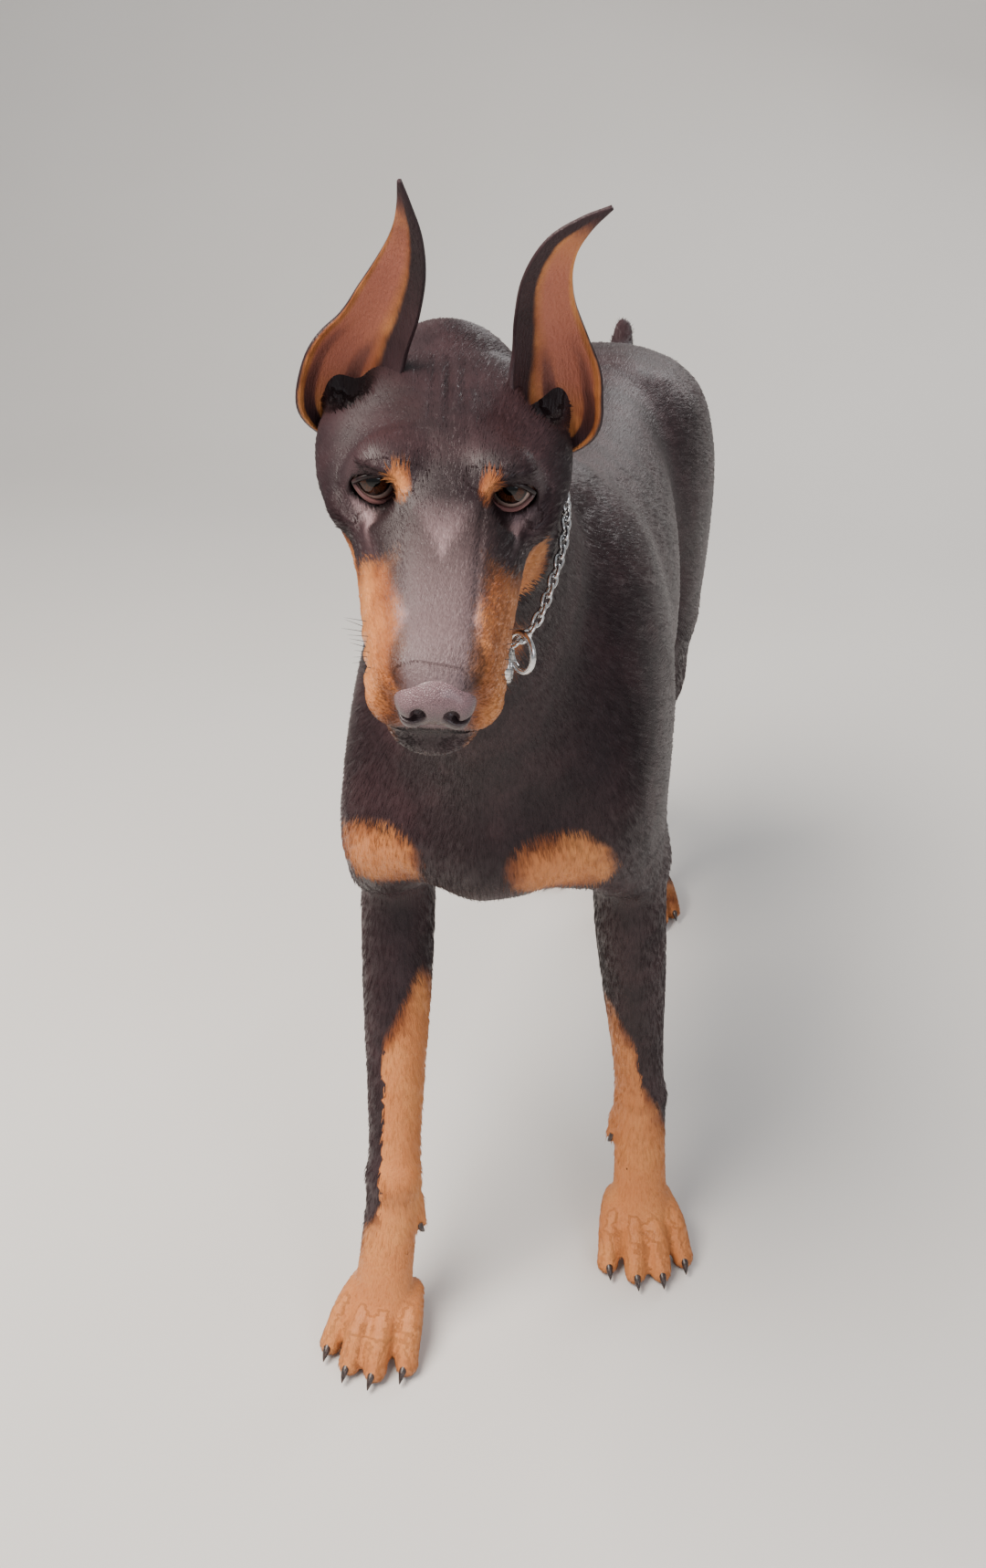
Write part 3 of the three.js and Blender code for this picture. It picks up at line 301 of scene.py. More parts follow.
def foreleg_forms(s, elbow, carpus, toes):
    """The foreleg from elbow to toes, with the point of the elbow, the stopper pad and the dewclaw."""
    knuckles, ahead, side = paw_frame(carpus, toes, "fore")
    at = lambda t: elbow + (carpus - elbow) * t
    rows = [(*(elbow + vec(0, 2, 20)), 34, 28), (*at(0.12), 32, 28), (*at(0.4), 28, 26),
            (*at(0.72), 22.5, 22), (*at(0.93), 20.5, 21), (*(carpus + ahead * 2), 21.5, 23),
            (*(carpus + ahead * 6 - UP * 22), 19, 22), (*(knuckles - ahead * 14 + UP * 62), 18.5, 23),
            (*(knuckles - ahead * 5 + UP * 38), 19, 27)]
    inner = side * -s
    dew = [(*(carpus + inner * 19 - UP * 22), 6, 6), (*(carpus + inner * 24 + ahead * 5 - UP * 42), 4.5, 4.5)]
    return [Limb(rows, side, 16), Egg(elbow + vec(0, 30, 10), (14, 15, 22), 16),
            Egg(carpus - ahead * 20 - UP * 4, (10, 9, 12), 7), Limb(dew, side, 6, 1),
            *paw_forms(knuckles, ahead, side, "fore")]


def hindleg_forms(s, hip, stifle, hock, toes):
    """The thigh as a loft down from the hip, then the gaskin, tendon, hock and paw."""
    knuckles, ahead, side = paw_frame(hock, toes, "hind")
    h, t, low = hip[1] - 205, stifle[1] - 148, abs(stifle[0])
    thigh = [
        (10, 44, 270 + h, 160 + h, 26, 215 + h), (40, 52, 312 + h, 138 + h, 38, 220 + h),
        (80, 58, 334 + h, 124 + h, 43, 226 + h), (120, 62, 338 + h, 116 + h, 43, 226 + h),
        (160, 65, 324 + h, 112 + h, 40, 218 + h), (200, 67, 298 + t, 108 + t, 37, 205 + t),
        (235, 68, 268 + t, 108 + t, 34, 192 + t), (270, low - 4, 242 + t, 114 + t, 29, 180 + t),
        (305, low - 6, 228 + t, 124 + t, 24, 176 + t)]
    rows = [(down, s * x, *rest) for down, x, *rest in thigh]
    shin = lambda k, *off: stifle + (hock - stifle) * k + vec(*off)
    low_leg = lambda k: hock + (knuckles - hock) * k
    gaskin = [(*(stifle + vec(-s * 4, 30, 0)), 36, 24), (*shin(0.3, s, 4, 2), 32, 23),
              (*shin(0.62, 0, 4, 2), 22, 17.5), (*(hock + vec(0, -3, 16)), 16.5, 14.5), (*hock, 18, 16.5),
              (*(low_leg(0.25) + vec(0, 1, 0)), 16.5, 14.5), (*low_leg(0.62), 15.5, 15),
              (*(knuckles - ahead * 8 + UP * 38), 16, 19)]
    tendon = [(*(stifle + vec(-s * 4, 88, -2)), 16, 12), (*shin(0.66, 0, 25, 12), 10, 8),
              (*(hock + vec(0, 19, 12)), 10.5, 9.5), (*(hock + vec(0, 13, -14)), 12, 11)]
    return [Hull(rows, 36, 2.3, 2.3, DOWN, (0, 0, SPINE), 24),
            Egg(stifle + vec(-s * 3, -2, 0), (22, 24, 34), 24),
            Limb(gaskin, (1, 0, 0), 24), Limb(tendon, (1, 0, 0), 16),
            *paw_forms(knuckles, ahead, side, "hind")]


def tail_forms():
    """The docked tail: a short stub, held up."""
    return [Limb([(0, 285, 625, 20, 19), (0, 318, 640, 15, 14), (0, 334, 662, 9, 9)], (1, 0, 0), 22)]


def head_egg(at, radii, blend, yaw=0, cut=False):
    """An egg in the head's frame, turned about its z."""
    return Egg(on_head(at), radii, blend, HEAD_TURN @ turn("z", yaw), cut)


def head_limb(rows, blend, steps=3, cut=False):
    """A limb in the head's frame, with its side across the head."""
    return Limb([(*on_head(r[:3]), *r[3:]) for r in rows], HEAD_TURN[:, 0], blend, steps, cut)


def head_forms():
    """Skull, muzzle, brows, cheeks, jaw and eye rims, in the head's frame: x left, y back, z up."""
    muzzle = [(-116, 0, -6, -42, 20, -22), (-104, 0, -1, -52, 27, -28), (-80, 0, 2, -57, 31.5, -32),
              (-50, 0, 5, -60, 35.5, -32), (-18, 0, 9, -60, 40, -30), (16, 0, 12, -58, 44, -28)]
    forms = [head_egg((0, 54, -17), (53, 56, 32), 20), head_egg((0, 20, -8), (42, 44, 27), 14),
             Hull(muzzle, 12, 2.8, 2.5, HEAD_TURN, HEAD_AT, 11)]
    for s in (1, -1):
        jaw = [(s * 3, -96, -48, 12, 14), (s * 12, -60, -52, 13, 12), (s * 26, -10, -56, 15, 12),
               (s * 36, 40, -50, 20, 14)]
        forms += [head_egg((s * 27, 2, 11), (15, 14, 8), 9),            # brow
                  head_egg((s * 45, 26, -16), (13, 38, 14), 14),        # cheek bone
                  head_egg((s * 40, 50, -30), (20, 36, 33), 18),        # cheek muscle
                  head_limb(jaw, 10),
                  head_egg((s * 50, 82, -12), (15, 14, 22), 12)]        # root of the ear
    forms.append(head_egg((0, -92, -50), (15, 16, 11), 8))              # chin
    throat = [(0, 20, -56, 16, 22), (0, 70, -50, 34, 36), (0, 110, -36, 40, 40)]
    forms.append(head_limb(throat, 26))
    for s in (1, -1):
        # The hollow of the eye, and in it the lids over the ball
        forms.append(head_egg((s * 33, -12, 0), (11, 11, 9), 9, -s * 28, True))
        forms.append(head_egg(EYE_AT * vec(s, 1, 1), (14.5, 14.5, 13.5), 4))
    return forms


# The line where the lips meet, in the head's frame, mm: y, then z
MOUTH_LINE = ([-118, -98, -74, -44, -20], [-38.5, -42.5, -45.5, -48.5, -49])
EAR_CUP = vec(48, 60, 8)                    # middle of the left ear's cup in the head's frame, mm
CUP_OFF = vec(0, 2, -2)                     # from there to the middle of its hairless hollow, darkened as painted shade, mm


def fine_forms():
    """Forms of the face that the fine net of the head holds: lips, philtrum, eye openings and ear cups."""
    forms = [head_egg((0, -97, -54), (19, 16, 10), 9),                  # chin
             head_egg((0, -99, -12), (21, 20, 10.5), 9)]                # bridge behind the nose
    for s in (1, -1):
        mirror = vec(s, 1, 1)
        mouth = [(s * 4, -116, -38.5, 1.6, 5), (s * 18, -112, -40, 1.6, 5), (s * 28, -98, -42.5, 1.6, 5),
                 (s * 34, -74, -45.5, 1.5, 5), (s * 38.5, -44, -48.5, 1.4, 5), (s * 43, -20, -49, 0.8, 4)]
        forms += [head_egg((s * 17, -98, -33), (12, 16, 9), 9),         # upper lip, full in front
                  head_egg((s * 24, 62, -4), (20, 22, 15), 14),         # temple beside the crown
                  head_egg(EAR_CUP * mirror, (11, 13, 20), 8, 0, True),
                  head_limb(mouth, 1.6, 4, True),
                  head_egg(EYE_AT * mirror + (s * 2.6, -13.5, 0.2), (11.9, 10, 8.3), 1.4, -s * 22, True),
                  head_egg(EYE_AT * mirror, (11.7, 11.7, 11.7), 0.3, 0, True)]      # room for the ball
    forms.append(head_limb([(0, -124, -27, 1.2, 1.6), (0, -122, -40, 1.2, 1.6)], 1.5, 4, True))    # philtrum
    return forms


BODY_FORMS = [*torso_forms(), *neck_forms()]
for _leg in FORELEGS.values():
    BODY_FORMS += foreleg_forms(*_leg)
for _leg in HINDLEGS.values():
    BODY_FORMS += hindleg_forms(*_leg)
BODY_FORMS += tail_forms()
HEAD_FORMS = [*BODY_FORMS, *head_forms(), *fine_forms()]
BODY_FORMS = [*BODY_FORMS, *head_forms()]


def field(forms, p):
    """The joined distance at the points, form after form."""
    d = np.full(p.shape[:-1], 1e3)
    for form in forms:
        out = -1 if form.cut else 1
        d = out * join_smooth(out * d, form.dist(p), form.blend)
    return d


BLOCK = 8                   # cells along one side of a block


def sampled(forms, low, high, step):
    """The field on a grid: in full in blocks of cells near the surface, and by its sign elsewhere."""
    low, high = np.array(low, float), np.array(high, float)
    blocks = np.ceil((high - low) / step / BLOCK).astype(int)
    which = np.stack(np.meshgrid(*[np.arange(k) for k in blocks], indexing="ij"), -1).reshape(-1, 3)
    reach = step * BLOCK * np.sqrt(3) / 2
    centre = low + (which * BLOCK + BLOCK / 2) * step
    d, each = np.full(len(centre), 1e3), []
    for form in forms:
        e, out = form.dist(centre), -1 if form.cut else 1
        each.append(e)
        d = out * join_smooth(out * d, e, form.blend)
    active = np.abs(d) < reach * 1.45 + 2
    grid = np.full(tuple(blocks * BLOCK + 1), 1e3, np.float32)
    signs = np.sign(d).reshape(tuple(blocks)).astype(np.float32) * 1e3
    grid[:-1, :-1, :-1] = signs.repeat(BLOCK, 0).repeat(BLOCK, 1).repeat(BLOCK, 2)
    local = np.stack(np.meshgrid(*[np.arange(BLOCK + 1)] * 3, indexing="ij"), -1).reshape(-1, 3)
    index = which[active][:, None] * BLOCK + local[None]
    points = low + index * step
    value = np.full(points.shape[:2], 1e3)
    for form, e in zip(forms, each):
        if form.cut:
            near = e[active] < reach * 1.7 + form.blend + 2
        else:
            near = e[active] < np.maximum(d[active], 0) + reach * 2.8 + form.blend + 4
        if near.any():
            here, out = form.dist(points[near]), -1 if form.cut else 1
            value[near] = out * join_smooth(out * value[near], here, form.blend)
    flat = index.reshape(-1, 3)
    grid[flat[:, 0], flat[:, 1], flat[:, 2]] = value.reshape(-1)
    return grid, low


def netted(forms, low, high, step):
    """A net of the level zero: a corner in each crossed cell at the mean of its edge crossings,
    and a quad round each crossed edge."""
    grid, low = sampled(forms, low, high, step)
    inside = grid < 0
    shape = [k - 1 for k in grid.shape]
    count = np.zeros(shape, np.uint8)
    corners = [(i, j, k) for i in (0, 1) for j in (0, 1) for k in (0, 1)]
    for i, j, k in corners:
        count += inside[i:shape[0] + i, j:shape[1] + j, k:shape[2] + k]
    cells = np.argwhere((count > 0) & (count < 8))
    number = np.full(shape, -1, np.int32)
    number[tuple(cells.T)] = np.arange(len(cells))
    total, crossings = np.zeros((len(cells), 3)), np.zeros(len(cells))
    value = {c: grid[tuple((cells + c).T)] for c in corners}
    for c in corners:
        for axis in range(3):
            if c[axis]:
                continue
            other = tuple(v + (k == axis) for k, v in enumerate(c))
            a, b = value[c], value[other]
            crossed = (a < 0) != (b < 0)
            t = np.where(crossed, a / np.where(crossed, a - b, 1), 0)
            point = np.array(c, float) + t[:, None] * np.eye(3)[axis]
            total += np.where(crossed[:, None], point, 0)
            crossings += crossed
    points = low + (cells + total / crossings[:, None]) * step
    quads = []
    for axis in range(3):
        first, second = (np.eye(3, dtype=int)[(axis + k) % 3] for k in (1, 2))
        start = tuple(slice(0, -1) if k == axis else slice(1, -1) for k in range(3))
        stop = tuple(slice(1, None) if k == axis else slice(1, -1) for k in range(3))
        off = np.array([int(k != axis) for k in range(3)])
        for turned, crossed in ((1, inside[start] & ~inside[stop]), (-1, ~inside[start] & inside[stop])):
            at = np.argwhere(crossed) + off
            ring = [number[tuple(q.T)] for q in (at - first - second, at - second, at, at - first)]
            quads.append(np.stack(ring[::turned], 1))
    return points, np.concatenate(quads)


def slope(forms, points, size=0.6):
    """Unit normals: the field's change over a small step along each axis, for some points at a time."""
    out, batch = np.empty_like(points), 40000
    for start in range(0, len(points), batch):
        part = points[start:start + batch]
        for k, off in enumerate(np.eye(3) * size):
            out[start:start + batch, k] = field(forms, part + off) - field(forms, part - off)
    return out / np.maximum(np.linalg.norm(out, axis=1), 1e-9)[:, None]


# Ears: cropped upright sheets in the head's frame. Rows: x, y, z, bow radius, half angle, thickness
EARS = {
    "left": [(43, 68, -34, 12, 66, 6), (48, 74, -14, 20, 96, 6), (47, 76, 6, 22, 84, 5.4),
             (45, 76, 26, 26, 48, 4.8), (41.5, 74, 46, 26, 35, 4.2), (41, 71, 64, 26, 28, 3.8),
             (45.5, 69, 80, 26, 20, 3.4), (55, 68, 92, 26, 10, 3), (66, 68, 101, 26, 2, 2.4)],
    "right": [(-42, 68, -34, 12, 66, 6), (-45, 74, -14, 20, 96, 6), (-43, 76, 6, 22, 84, 5.4),
              (-35, 76, 26, 25, 47, 4.8), (-28, 74, 46, 26, 36, 4.2), (-23.5, 71, 64, 26, 27, 3.8),
              (-22, 69, 80, 26, 17, 3.4), (-23.5, 68, 94, 26, 8, 3), (-26, 68, 106, 26, 2, 2.4)]}
EAR_OPENS = vec(0.3, -0.94, 0.05)           # the way the left ear's cup opens


def ear_sheet(side_name, rounds=40):
    """A bowed sheet: at angle a round its spine a point is C + side r sin a + open (bow - r cos a), with r
    the bow plus or less half the thickness, which thins towards both edges as 1 - 0.55 |a/limit|^4.
    Returns a closed grid of points (rows by twice the rounds) in the head's frame, and where each lies."""
    path = smooth_rows(EARS[side_name], 8)
    axis = np.gradient(path[:, :3], axis=0)
    axis /= np.linalg.norm(axis, axis=1)[:, None]
    opens = EAR_OPENS * vec(SIDES[side_name], 1, 1)
    opened = opens - (axis @ opens)[:, None] * axis
    opened /= np.linalg.norm(opened, axis=1)[:, None]
    side = np.cross(axis, opened)
    share = np.cos(np.linspace(0, np.pi, rounds))
    share = np.concatenate([-share, share])
    sign = np.repeat([1.0, -1.0], rounds)
    limit = np.radians(np.maximum(path[:, 4], 1.2))[:, None]
    edge = 1 - 0.55 * np.abs(share) ** 4
    r = path[:, 3, None] + sign * path[:, 5, None] / 2 * edge
    a = share * limit
    points = (path[:, None, :3] + side[:, None] * (r * np.sin(a))[..., None]
              + opened[:, None] * (path[:, 3, None] - r * np.cos(a))[..., None])
    return points, np.broadcast_to(share, a.shape), np.broadcast_to(sign, a.shape)


# Markings: rust on the muzzle, cheeks, throat, brows, chest, legs and under the tail

def spot(p, at, radii, axes=None):
    """How deep a point lies in an oval mark: the smaller radius times one less the scaled distance, mm."""
    q = p - np.array(at, float)
    if axes is not None:
        q = q @ axes
    radii = np.array(radii, float)
    return radii.min() * (1 - np.linalg.norm(q / radii, axis=-1))


def rust_depth(p):
    """Distance inside the rust marks, mm, negative in the dark coat: the largest of the marks' depths."""
    q = in_head(p)
    x, y, z = q[..., 0], q[..., 1], q[..., 2]
    across = np.abs(x)
    marks = []
    # muzzle sides, lips and jaw: outside the bridge and below a line that falls back to the cheek
    bridge = np.interp(y, [-122, -95, -60, -38], [13, 16, 19, 22])
    side = np.maximum(across - bridge, -34 - z)
    end = np.interp(z, [-62, -44, -24, -4], [50, 6, -34, -50]) - y
    chin = spot(q, (0, -112, -46), (19, 30, 22))
    marks.append(np.minimum(np.where(z > -95, np.minimum(side, 0.8 * end), -50), -chin))
    for s in (1, -1):
        marks.append(3.2 * spot(q, (s * 20.5, -14, 11), (4.8, 8, 5.6)) + 3)           # pip over the eye
    face = np.max(marks, axis=0)
    throat = spot(p, (0, -385, 632), (40, 56, 44))
    head_part = np.where(y < 75, np.maximum(face, throat), throat)
    rest = []
    for s in (1, -1):
        rest.append(spot(p, (s * 63 - 9, -318, 446 + s * 3), (36, 70, 28), turn("y", s * 24)))   # chest
    for s, elbow, carpus, _ in FORELEGS.values():
        near = np.linalg.norm((p - (elbow + carpus) / 2) * vec(1, 1, 0.2), axis=-1) < 95
        near = (near | ((p[..., 2] < 130) & (p[..., 1] < -60))) & (p[..., 0] * s > 0)
        inner = -s * (p[..., 0] - np.interp(p[..., 2], [carpus[2], elbow[2]], [carpus[0], elbow[0]]))
        reach, outer = (205, 160) if s > 0 else (246, 118)
        top = np.where(inner > -4, reach, outer) + np.clip(inner, -25, 25) * 1.9
        ahead = np.interp(p[..., 2], [carpus[2], elbow[2]], [carpus[1], elbow[1]]) - p[..., 1]
        top += np.clip(ahead, -20, 20) * 0.8
        rest.append(np.where(near & (p[..., 2] < 330), top - p[..., 2], -60) * 0.5)
    for s, _, stifle, hock, toes in HINDLEGS.values():
        near = (np.abs(p[..., 0] - hock[0]) < 75) & (p[..., 1] > 60)
        axis_y = np.interp(p[..., 2], [0, hock[2], stifle[2]], [toes[1] - 30, hock[1], stifle[1] + 40])
        ahead = axis_y - p[..., 1]
        inner = -s * (p[..., 0] - np.interp(p[..., 2], [hock[2], stifle[2]], [hock[0], stifle[0]]))
        top = 180 + np.clip(ahead, -30, 40) * 3.0 + np.clip(inner, -25, 25) * 2.2
        rest.append(np.where(near & (p[..., 2] < 420), top - p[..., 2], -60) * 0.4)
    rest.append(spot(p, (0, 330, 612), (24, 22, 26)))
    return np.maximum(head_part, np.max(rest, axis=0))


def lie_of(p, normal):
    """The way the coat lies, a unit tangent: back from the nose on the head, down the neck, back and down
    on the trunk, down the legs and forward on the paws; each counted by how near it is."""
    q = in_head(p)
    head = np.clip((95 - q[..., 1]) / 50, 0, 1) * np.clip((q[..., 2] + 110) / 40, 0, 1) * (p[..., 2] > 600)
    back = np.stack([q[..., 0] * 0.006, np.ones_like(head), np.full_like(head, -0.25)], -1) @ HEAD_TURN.T
    neck = np.clip((rise_of(p) - 20) / 90, 0, 1) * (p[..., 1] < -120)
    leg = np.clip((470 - p[..., 2]) / 130, 0, 1)
    trunk = np.stack([0 * leg, 1 + 0 * leg, -0.45 * np.clip(np.abs(p[..., 0]) / 80, 0, 1)], -1)
    chest = np.clip((-250 - p[..., 1]) / 60, 0, 1)[..., None]
    trunk = trunk * (1 - chest) + vec(0, 0.15, -1) * chest
    down = vec(0, 0.12, -1)
    paw = np.clip((52 - p[..., 2]) / 30, 0, 1)[..., None]
    down = down * (1 - paw) + vec(0, -0.9, -0.5) * paw
    lie = trunk * (1 - leg)[..., None] + down * leg[..., None]
    lie = lie * (1 - neck)[..., None] + (-NECK_UP + vec(0, 0, -0.15)) * neck[..., None]
    lie = lie * (1 - head)[..., None] + back * head[..., None]
    lie = lie - (lie * normal).sum(-1)[..., None] * normal
    return lie / np.maximum(np.linalg.norm(lie, axis=-1), 1e-6)[..., None]


# Making pieces

def put_mesh(name, points, faces, material, replaces=(), normals=None, values=None, uv=None):
    """A piece from arrays in dog coordinates, mm: it rides on the root and is finished in the material."""
    faces = np.asarray(faces, np.int32)
    mesh = bpy.data.meshes.new(name)
    mesh.vertices.add(len(points))
    mesh.vertices.foreach_set("co", to_frame(points).astype(np.float32).ravel())
    mesh.loops.add(faces.size)
    mesh.loops.foreach_set("vertex_index", faces.ravel())
    mesh.polygons.add(len(faces))
    mesh.polygons.foreach_set("loop_start", np.arange(len(faces), dtype=np.int32) * faces.shape[1])
    mesh.update(calc_edges=True)
    mesh.shade_smooth()
    for key, value in (values or {}).items():
        value = np.asarray(value, np.float32)
        kind = "FLOAT" if value.ndim == 1 else "FLOAT_VECTOR"
        layer = mesh.attributes.new(key, kind, "POINT")
        layer.data.foreach_set("value" if value.ndim == 1 else "vector", value.ravel())
    if uv is not None:
        layer = mesh.uv_layers.new(name="OFBake")
        layer.uv.foreach_set("vector", np.asarray(uv, np.float32)[faces.ravel()].ravel())
    if normals is not None:
        mesh.normals_split_custom_set_from_vertices(normals.tolist())
    mesh.materials.append(material)
    piece = bpy.data.objects.new(name, mesh)
    bpy.context.scene.collection.objects.link(piece)
    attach(piece, "root")
    if replaces:
        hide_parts(*replaces)
    return piece


def grid_faces(rows, columns, closed=True):
    """Quads over a grid of points, round in its second index where closed."""
    index = np.arange(rows * columns).reshape(rows, columns)
    if closed:
        index = np.hstack([index, index[:, :1]])
    return np.stack([index[:-1, :-1], index[:-1, 1:], index[1:, 1:], index[1:, :-1]], -1).reshape(-1, 4)


def tube(path, radii, rounds=10, closed=False, up=(0, 0, 1), flat=1.0):
    """A round section of the given radii carried along a path; its ends shrink to points where it is open."""
    path = np.asarray(path, float)
    if closed:
        along = np.roll(path, -1, 0) - np.roll(path, 1, 0)
    else:
        along = np.gradient(path, axis=0)
    along /= np.linalg.norm(along, axis=1)[:, None]
    side = np.cross(along, np.broadcast_to(np.array(up, float), along.shape))
    side /= np.maximum(np.linalg.norm(side, axis=1), 1e-9)[:, None]
    over = np.cross(side, along)
    angle = np.arange(rounds) / rounds * 2 * np.pi
    radii = np.broadcast_to(np.asarray(radii, float), len(path))
    ring = side[:, None] * np.cos(angle)[None, :, None] + over[:, None] * np.sin(angle)[None, :, None] * flat
    points = (path[:, None] + ring * radii[:, None, None]).reshape(-1, 3)
    faces = grid_faces(len(path), rounds)
    if closed:
        last = np.arange(rounds) + (len(path) - 1) * rounds
        first = np.arange(rounds)
        faces = np.vstack([faces, np.stack([last, np.roll(last, -1), np.roll(first, -1), first], -1)])
    return points, faces[:, ::-1]


def joined(parts):
    """Several (points, faces) as one."""
    points, faces, count = [], [], 0
    for p, f in parts:
        points.append(p)
        faces.append(np.asarray(f) + count)
        count += len(p)
    return np.vstack(points), np.vstack(faces)


# Materials

def linear(colour):
    """An sRGB hex colour as the linear RGBA that shaders take."""
    c = np.array([int(colour[k:k + 2], 16) for k in (1, 3, 5)]) / 255
    c = np.where(c <= 0.04045, c / 12.92, ((c + 0.055) / 1.055) ** 2.4)
    return (*c.tolist(), 1.0)


def add(tree, kind, sockets=None, out=0, **settings):
    """Add one node with its settings. Its sockets, by name or number, take links, numbers or hex colours.
    Gives back the output of that name or number."""
    node = tree.nodes.new(kind)
    for key, value in settings.items():
        setattr(node, key, value)
    for key, value in (sockets or {}).items():
        if isinstance(value, bpy.types.NodeSocket):
            tree.links.new(value, node.inputs[key])
        else:
            node.inputs[key].default_value = linear(value) if isinstance(value, str) else value
    return node.outputs[out] if node.outputs else None


def fresh(name):
    """A new material, and the function that adds nodes to its empty tree."""
    material = bpy.data.materials.new(name)
    material.use_nodes = True
    material.node_tree.nodes.clear()
    return material, partial(add, material.node_tree)


# A Mix node's sockets for colours by number: their share, the two colours and the result
SHARE, UNDER, OVER, MIXED = 0, 6, 7, 2
COLOURS = {"data_type": "RGBA"}
SMOOTH = {"interpolation_type": "SMOOTHSTEP"}


def short_coat(name, colours, tufts=False):
    """Doberman coat: single short hairs 8 to 14 mm long, lying flat, so light spreads in satin bands across
    the lie, and the pigment is even but for brown where the hair thins. Streaks are 1.2 mm wide, coarser than
    real hair, to show. Light is painted into the colour too: pale glints on the streaks, pale sheen on the
    muzzle's bridge and under the eyes, and shade in the ears' cups."""
    material, node = fresh(name)
    place = node("ShaderNodeTexCoord", out="Object")
    lie = node("ShaderNodeAttribute", out="Vector", attribute_name="streak")
    rust, painted_sheen, bare, dark = (node("ShaderNodeAttribute", out="Fac", attribute_name=key)
                               for key in ("rust", "painted_sheen", "bare", "dark"))
    hairs = node("ShaderNodeTexNoise", {"Vector": lie, "Scale": 1.0, "Detail": 3.0, "Roughness": 0.6})
    patches = node("ShaderNodeTexNoise", {"Vector": place, "Scale": 28.0, "Detail": 4.0, "Roughness": 0.55})
    # The rust's edge frays by a few mm with the hairs and the patches
    cloud = node("ShaderNodeMath", {0: patches, 1: 9.0, 2: -7.0}, operation="MULTIPLY_ADD")
    frayed = node("ShaderNodeMath", {0: hairs, 1: 5.0, 2: cloud}, operation="MULTIPLY_ADD")
    depth = node("ShaderNodeMath", {0: rust, 1: frayed}, operation="ADD")
    marked, thin, deep, pale, painted_glint = (
        node("ShaderNodeMapRange", {"Value": value, "From Min": low, "From Max": high}, **SMOOTH)
        for value, low, high in ((depth, -3.5, 4.5), (patches, 0.35, 0.7), (depth, 2.0, 16.0),
                                 (patches, 0.4, 0.75), (hairs, 0.42, 0.7)))
    # Painted highlight: pale glints on the hair streaks, mixed into the colour
    painted_glint, bare = (node("ShaderNodeMath", {0: value, 1: most}, operation="MULTIPLY")
                   for value, most in ((painted_glint, 0.30), (bare, 0.85)))
    black, warm = colours.coat, colours.rust_edge
    # The brown of thin hair, then the pale sheen painted on the muzzle's bridge and under the eyes
    for share, colour in ((thin, colours.coat_brown), (painted_sheen, colours.bridge)):
        black = node("ShaderNodeMix", {SHARE: share, UNDER: black, OVER: colour}, MIXED, **COLOURS)
    for share, colour in ((deep, colours.rust), (pale, colours.rust_pale)):
        warm = node("ShaderNodeMix", {SHARE: share, UNDER: warm, OVER: colour}, MIXED, **COLOURS)
    base = black
    # The dark attribute: dark skin of the lips and lids, with painted shade in the ears' cups
    for share, colour, way in ((marked, warm, "MIX"), (painted_glint, "#8a7f80", "SOFT_LIGHT"),
                               (bare, colours.bare_skin, "MIX"), (dark, "#1c1314", "MIX")):
        base = node("ShaderNodeMix", {SHARE: share, UNDER: base, OVER: colour}, MIXED, blend_type=way,
                    **COLOURS)
    rough = node("ShaderNodeMath", {0: hairs, 1: 0.22, 2: 0.30}, operation="MULTIPLY_ADD")
    finish = {"Base Color": base, "Roughness": rough, "IOR": 1.45, "Specular IOR Level": 0.28,
              "Sheen Weight": 0.03, "Sheen Roughness": 0.38, "Sheen Tint": "#b9aab0"}
    if not tufts:
        finish["Normal"] = node("ShaderNodeBump", {"Height": hairs, "Strength": 0.75, "Distance": 0.0012})
    node("ShaderNodeOutputMaterial", {"Surface": node("ShaderNodeBsdfPrincipled", finish)})
    return material


def nose_leather(colours):
    """Nose leather: bare, moist skin in small pebbles 0.9 mm across, glossy between fine furrows; the furrows
    are darkened as painted shade, and the dark attribute paints shade in the nostrils and under the nose.
    """
    material, node = fresh("nose_leather")
    place = node("ShaderNodeTexCoord", out="Object")
    cells = node("ShaderNodeTexVoronoi", {"Vector": place, "Scale": 1100.0}, feature="DISTANCE_TO_EDGE")
    cloud = node("ShaderNodeTexNoise", {"Vector": place, "Scale": 90.0, "Detail": 3.0})
    mottle, furrow_shade, pebble = (
        node("ShaderNodeMapRange", {"Value": value, "From Min": low, "From Max": high}, **SMOOTH)
        for value, low, high in ((cloud, 0.35, 0.7), (cells, 0.12, 0.0), (cells, 0.0, 0.3)))
    # Painted shade: the furrows between the pebbles are darkened
    furrow_shade = node("ShaderNodeMath", {0: furrow_shade, 1: 0.6}, operation="MULTIPLY")
    dark = node("ShaderNodeAttribute", out="Fac", attribute_name="dark")
    base = colours.nose
    # Painted shade: the dark attribute darkens the nostrils and the nose's underside
    for share, colour in ((mottle, "#7d6266"), (furrow_shade, "#1b1214"), (dark, "#0b0708")):
        base = node("ShaderNodeMix", {SHARE: share, UNDER: base, OVER: colour}, MIXED, **COLOURS)
    bump = node("ShaderNodeBump", {"Height": pebble, "Strength": 0.5, "Distance": 0.0004})
    finish = {"Base Color": base, "Normal": bump, "Roughness": 0.34, "IOR": 1.4, "Coat Weight": 0.35,
              "Coat Roughness": 0.22}
    node("ShaderNodeOutputMaterial", {"Surface": node("ShaderNodeBsdfPrincipled", finish)})
    return material


